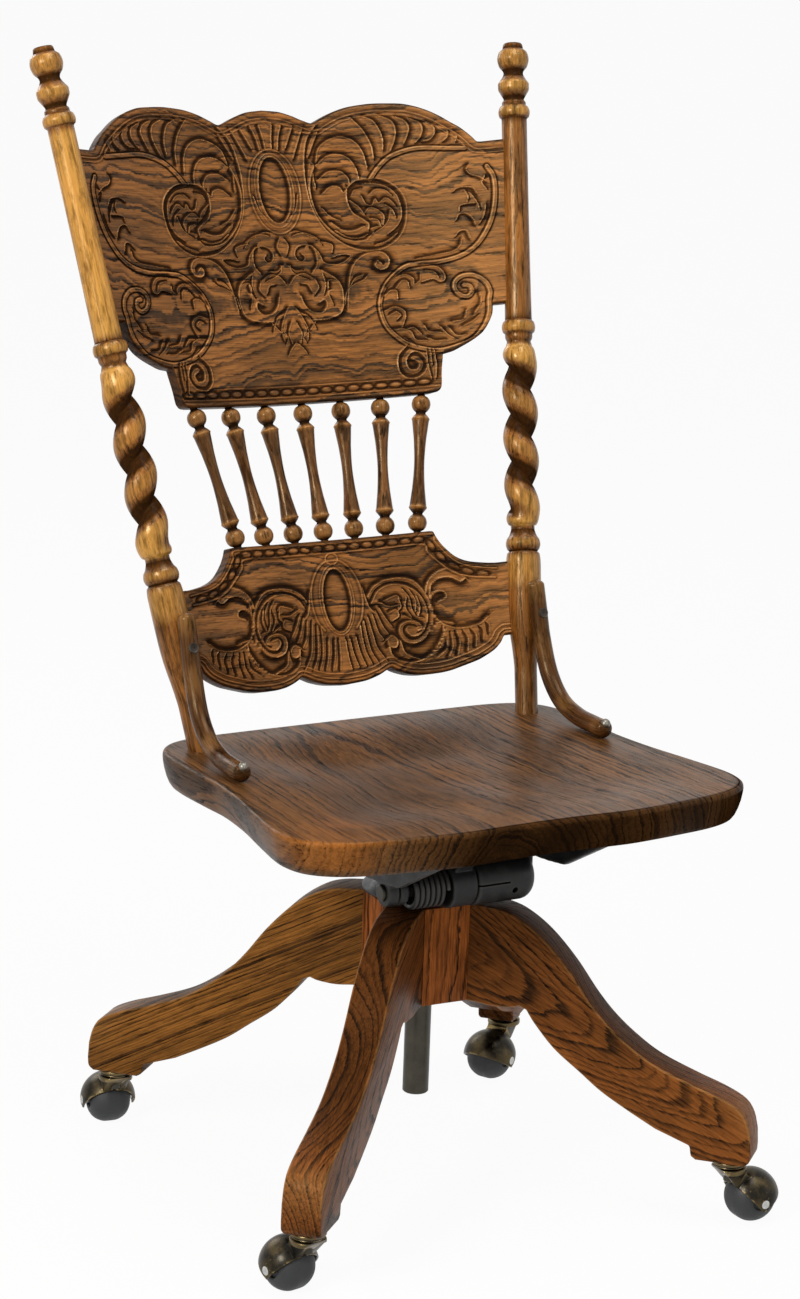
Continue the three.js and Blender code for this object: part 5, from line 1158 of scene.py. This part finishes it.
WHEEL_PROFILE = [
    [4.3, 17.6], [7.6, 17.6], [8.4, 19.6], [9.6, WHEEL_HALF_WIDE], [12.5, 19.9], [15.8, 18.2], [18.8, 15.8],
    [21.4, 12.2], [23.0, 8.6], [23.8, 5.2], [WHEEL_R, 0]]
RIVET_HEAD = [[4, -1.8], [4.9, -1.6], [4.6, -0.5], [2.4, 0.3], [0.01, 0.6]]


def half_wheel():
    """The wheel's outer profile from its hub to its middle, through soft curves."""
    table = rows(WHEEL_PROFILE)
    knots = np.arange(len(table))
    even = np.linspace(0, len(table) - 1, 41)
    return np.column_stack([monotone(knots, table[:, k], even) for k in (0, 1)])


def caster(k, form):
    a, b = math.radians(BASE_TURN + 90 * k), math.radians(TRAIL_DEG[k])
    stem = (CASTER_AT * math.cos(a), CASTER_AT * math.sin(a) + SPIN_Y, 0)
    trailed = rows([[math.cos(b), -math.sin(b), 0], [math.sin(b), math.cos(b), 0], [0, 0, 1]])
    put = lambda solid: moved(solid, trailed, stem)
    own = f"caster_{k + 1}"
    piece(f"turned_socket_{k + 1}", put(lathe(SOCKET, 64, loop=True)), "base", [f"caster_socket_{k + 1}"], "bronze",
          bronze, sharp=30)
    piece(f"caster_pin_{k + 1}", put(lathe([[4.2, 43.2], [5, 44], [5, 88], [3.8, 89.2]], 32)), own,
          [f"caster_stem_{k + 1}"], "steel", steel, sharp=30)
    hood = linked(f"cast_hood_{k + 1}", form.data.copy())
    put_corners(hood, corners_of(hood) @ trailed.T + stem)
    finish_piece(hood, own, [f"caster_hood_{k + 1}"], "bronze", bronze, sharp=32)
    head = rows(RIVET_HEAD) + [0, HOOD_R - 0.1]
    rivet = on_axle(lathe(np.vstack([head[::-1] * [1, -1], head]), 40))
    piece(f"riveted_axle_{k + 1}", put(rivet), own, [f"caster_axle_{k + 1}"], "rivet", rivet_steel, sharp=40)
    curve = half_wheel()
    wheel = on_axle(lathe(np.vstack([curve * [1, -1], curve[-2::-1]]), 80, loop=True))
    piece(f"moulded_wheel_{k + 1}", put(wheel), f"wheel_{k + 1}", [f"caster_wheel_{k + 1}"], "tread", tread, sharp=40)


hood_form = caster_hood()
for number in range(4):
    caster(number, hood_form)
bpy.data.objects.remove(hood_form)


# Tilt iron

ARM_INNER, ARM_THICK, BARREL_LEFT, BARREL_RIGHT = -58, 9.5, -15, 12
RAIL_TOP = SEAT_TOP - SEAT_THICK - 0.3
RAIL_X, RAIL_FRONT, RAIL_REAR, BARREL_EASE = 90, -195, 120, 12
RAIL_WEB = [[0.01, 0.09], [0.265, 0.705], [0.35, 0.755], [0.47, 0.8], [0.585, 0.61], [0.75, 0.3], [0.99, 0.12]]


def side_plate(outline_yz, x0, x1):
    return moved(prism(outline_yz, x0, x1), ALONG_X)


def settle(obj, mirror=False):
    """Moves a finished casting from the spindle's frame to the chair's."""
    if mirror:
        obj.data.flip_normals()
    put_corners(obj, corners_of(obj) * [-1 if mirror else 1, 1, 1] + [0, SPIN_Y, 0])
    return obj


def rail(name, node, hub_r, hub_inner, hub_outer, mirror):
    """A web and a flange under the seat, and a bridge and a hanger that carry a hub on the shaft."""
    deep, drop = RAIL_REAR - RAIL_FRONT, RAIL_TOP - SHAFT_Z
    low = [(RAIL_FRONT + a * deep, RAIL_TOP - d * drop) for a, d in RAIL_WEB]
    web = side_plate([(low[0][0], RAIL_TOP - 1), *low, (low[-1][0], RAIL_TOP - 1)], RAIL_X - 4, RAIL_X + 4)
    flange = box(RAIL_X - 11, RAIL_X + 11, RAIL_FRONT, RAIL_REAR, RAIL_TOP - 4.7, RAIL_TOP)
    inner = max(hub_inner, hub_outer - 48)
    bridge_top = RAIL_TOP - 22
    bridge = box(inner, RAIL_X, SHAFT_Y - 23, SHAFT_Y + 23, bridge_top - 12, bridge_top)
    hanger = box(inner, hub_outer, SHAFT_Y - 12, SHAFT_Y + 12, SHAFT_Z, bridge_top - 6)
    hub = cross_rod(hub_r, hub_inner, hub_outer, ease=1.5)
    tools = [cross_rod(SHAFT_R + 0.3, hub_inner - 5, hub_outer + 5, ease=0.1)]
    if hub_r > 20:
        # The long hub is the spring's barrel: a round end, a slit and a hole for the key
        end = [[hub_r - BARREL_EASE * (1 - math.cos(a)), hub_outer - BARREL_EASE * (1 - math.sin(a))]
               for a in np.linspace(0, math.pi / 2, 9)]
        hub = on_shaft(lathe([[hub_r - 1.5, hub_inner], [hub_r, hub_inner + 1.5], *end]))
        tools.append(box(hub_inner - 5, hub_inner + 34, SHAFT_Y - 30, SHAFT_Y, SHAFT_Z, SHAFT_Z + 2))
        tools.append(moved(lathe([[3.2, 0], [3.2, 24]], 28), turn("X", 90),
                           (hub_inner + 40.4, SHAFT_Y - 8.3, SHAFT_Z - 8)))
    iron = cast(name, together(web, flange, bridge, hanger, hub), 1.3, 5)
    cut(iron, *tools)
    finish_piece(settle(iron, mirror), "seat", [node], "black_iron", black_iron, sharp=40)


rail("cast_rail_right", "right_seat_rail", 24, 12.5, 78.5, False)
rail("cast_rail_left", "left_seat_rail", 14, 68, 80, True)


BELL = [[54.5, 0], [58.4, 0], [59, 0.6], [59, 2.5], [55, 5.4], [49, 10.5], [40, 19], [28, 20.7], [16.5, 21.5],
        [16.5, 14.5], [37.7, 14.5]]


def spindle_head():
    """A boss on the screw, a bell over the hub, a beam behind the shaft, the barrel and arm round it, and a nose
    between the stops."""
    bottom, top, bell_bottom = 305.4, 344.4, 295.3
    boss = lathe([[21, bottom], [22, bottom + 1], [22, top - 1], [21, top]], 64)
    bell = lathe(rows(BELL) + [0, bell_bottom], 120, loop=True)
    front = SHAFT_Y + 47 - 24
    beam_bottom, outer = top - 18, ARM_INNER - ARM_THICK
    beam = box(outer, BARREL_RIGHT, front, SHAFT_Y + 47, beam_bottom, top)
    barrel = cross_rod(23, BARREL_LEFT, BARREL_RIGHT, ease=1.5)
    barrel_web = box(BARREL_LEFT + 2.2, BARREL_RIGHT - 2.2, SHAFT_Y, front + 2.2, beam_bottom - 2.2, SHAFT_Z + 20.7)
    eye = cross_rod(14, outer, ARM_INNER, ease=1.2)
    arm = side_plate([(SHAFT_Y, SHAFT_Z - 13.3), (front + 2.2, beam_bottom), (front + 2.2, top),
                      (SHAFT_Y, SHAFT_Z + 13.3)], outer, ARM_INNER)
    stop_y, stop_z = SHAFT_Y - 30, SHAFT_Z + 46
    nose = side_plate([(SHAFT_Y, SHAFT_Z + 20.7), (SHAFT_Y - 11.5, SHAFT_Z + 11.5), (stop_y - 6, stop_z - 10.3),
                       (stop_y - 6, stop_z - 0.3), (stop_y + 6, stop_z - 0.3)], -10.5, 7.5)
    iron = cast("cast_spindle_head", together(boss, bell, beam, barrel, barrel_web, eye, arm, nose), 1.1, 4)
    cut(iron, cross_rod(20.5, ARM_INNER, BARREL_LEFT, ease=0.1),
        on_shaft(lathe([[24.8, BARREL_RIGHT], [24.8, 118]], 64)),
        cross_rod(SHAFT_R + 0.3, outer - 5, BARREL_RIGHT + 5, ease=0.1), lathe([[9.8, 280], [9.8, 339.7]], 48))
    finish_piece(settle(iron), "head", ["spindle_head"], "black_iron", black_iron, sharp=40)


spindle_head()


def spring(turns=6.5, r=17.2, wire=2.5, pitch=5.7, per_turn=40):
    """A coil round the shaft whose left end turns in to the arm."""
    i = np.arange(int(turns * per_turn) + 1)
    left = (ARM_INNER + BARREL_LEFT - turns * pitch) / 2
    turned_in = smoothstep(0, per_turn / 2, per_turn / 2 - i)
    radius = r - (r - SHAFT_R - wire - 0.5) * turned_in
    a = i / per_turn * 2 * math.pi
    line = np.column_stack([left + pitch * i / per_turn, SHAFT_Y + radius * np.cos(a), SHAFT_Z + radius * np.sin(a)])
    v, faces = sweep(line, np.full(len(line), wire), 16, up=(1, 0, 0))
    piece("coiled_tilt_spring", about_spindle((v, faces)), "head", ["tilt_spring"], "black_iron", black_iron,
          sharp=50)


spring()
piece("ground_cross_shaft", about_spindle(cross_rod(SHAFT_R, -83, 81.5)), "seat", ["cross_shaft"], "steel", steel,
      sharp=30)

stop_bar = scratch("forged_stop_bar", about_spindle(box(-85.7, 85.7, -96, -84, 363.5, 369.5)))
finish_piece(eased(stop_bar, 1.0, 3), "seat", ["tilt_stop_bar"], "black_iron", black_iron, sharp=40)

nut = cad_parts["height_nut"].data
nut.materials.clear()
nut.materials.append(black_iron)


# Screws that hold the rails to the seat, in the holes of their flanges
RAIL_SCREW = [[0.01, 381.6], [1.5, 381.6], [3.8, 382.3], [4.6, 383.6], [4.6, 384.4], [0.01, 384.4]]
for label, side in (("left", -1), ("right", 1)):
    for number, y in enumerate((-180, -110, 40, 105)):
        x = RAIL_X + (7.0 if number % 2 else -7.0)
        head = moved(lathe(RAIL_SCREW, 28), None, (side * x, y + SPIN_Y, 0))
        piece(f"rail_screw_{label}_{number + 1}", head, "seat", [], "black_iron", screw_steel, sharp=30)


# Camera, light and floor

def camera():
    """The photograph's view, as fitted to the outlines of the chair."""
    azimuth, pitch, roll = map(math.radians, (-30.4576, 13.7227, 2.0085))
    data = bpy.data.cameras.new("view")
    data.lens, data.sensor_width, data.sensor_fit = 97.98, 36, "AUTO"
    data.clip_end = 60
    obj = linked("view", data)
    aim = Matrix.Rotation(azimuth, 4, "Z") @ Matrix.Rotation(math.pi / 2 - pitch, 4, "X")
    place_at = Matrix.Translation(rows([-1674.93, -2850.87, 1324.32]) * MM)
    obj.matrix_world = place_at @ aim @ Matrix.Rotation(roll, 4, "Z")
    bpy.context.scene.camera = obj


def lamp(name, place_at, aim, size, watts, colour=(1, 1, 1)):
    data = bpy.data.lights.new(name, "AREA")
    data.shape, data.size, data.energy, data.color = "DISK", size, watts, colour
    obj = linked(name, data)
    obj.location = place_at
    obj.rotation_euler = (Vector(aim) - Vector(place_at)).to_track_quat("-Z", "Y").to_euler()


def backdrop(owner, lit, shown, output, share=1.0):
    """Lights the chair as lit does, while the camera, mirrors and glass see shown."""
    g = Graph(owner)
    g.tree.nodes.clear()
    rays = g.add("ShaderNodeLightPath").outputs
    seen = g.math("MAXIMUM", rays["Is Camera Ray"], rays["Is Transmission Ray"])
    seen = g.math("MAXIMUM", seen, rays["Is Glossy Ray"])
    if share < 1:
        seen = g.times(seen, share)
    mix = g.add("ShaderNodeMixShader", {0: seen, 1: g.add(*lit).outputs[0], 2: g.add(*shown).outputs[0]})
    g.add(output, {"Surface": mix.outputs[0]})
    return owner


FLOOR = 40
WHITE = (1, 1, 1, 1)


def studio():
    bpy.context.scene.world = backdrop(
        bpy.data.worlds.new("studio"), ("ShaderNodeBackground", {"Color": WHITE, "Strength": 0.2}),
        ("ShaderNodeBackground", {"Color": WHITE, "Strength": 1.0}), "ShaderNodeOutputWorld")
    mesh = bpy.data.meshes.new("floor")
    mesh.from_pydata([(x * FLOOR, y * FLOOR, 0) for x, y in ((-1, -1), (1, -1), (1, 1), (-1, 1))], [], [(0, 1, 2, 3)])
    mesh.materials.append(backdrop(
        bpy.data.materials.new("paper"), ("ShaderNodeBsdfDiffuse", {"Color": (0.7, 0.7, 0.7, 1)}),
        ("ShaderNodeEmission", {"Color": WHITE}), "ShaderNodeOutputMaterial", 0.95))
    linked("floor", mesh)


camera()
studio()
lamp("key", (-3.0, -1.4, 2.3), (0, 0, 0.55), 1.1, 96, (1.0, 0.98, 0.94))
lamp("fill", (2.6, -2.2, 1.4), (0, 0, 0.5), 1.6, 6)
lamp("top", (0.1, -0.8, 3.2), (0, 0, 0.5), 1.8, 50)
lamp("rear", (-0.6, 2.8, 1.8), (0, 0, 0.6), 1.4, 20)

bpy.context.scene.view_settings.view_transform = "Standard"
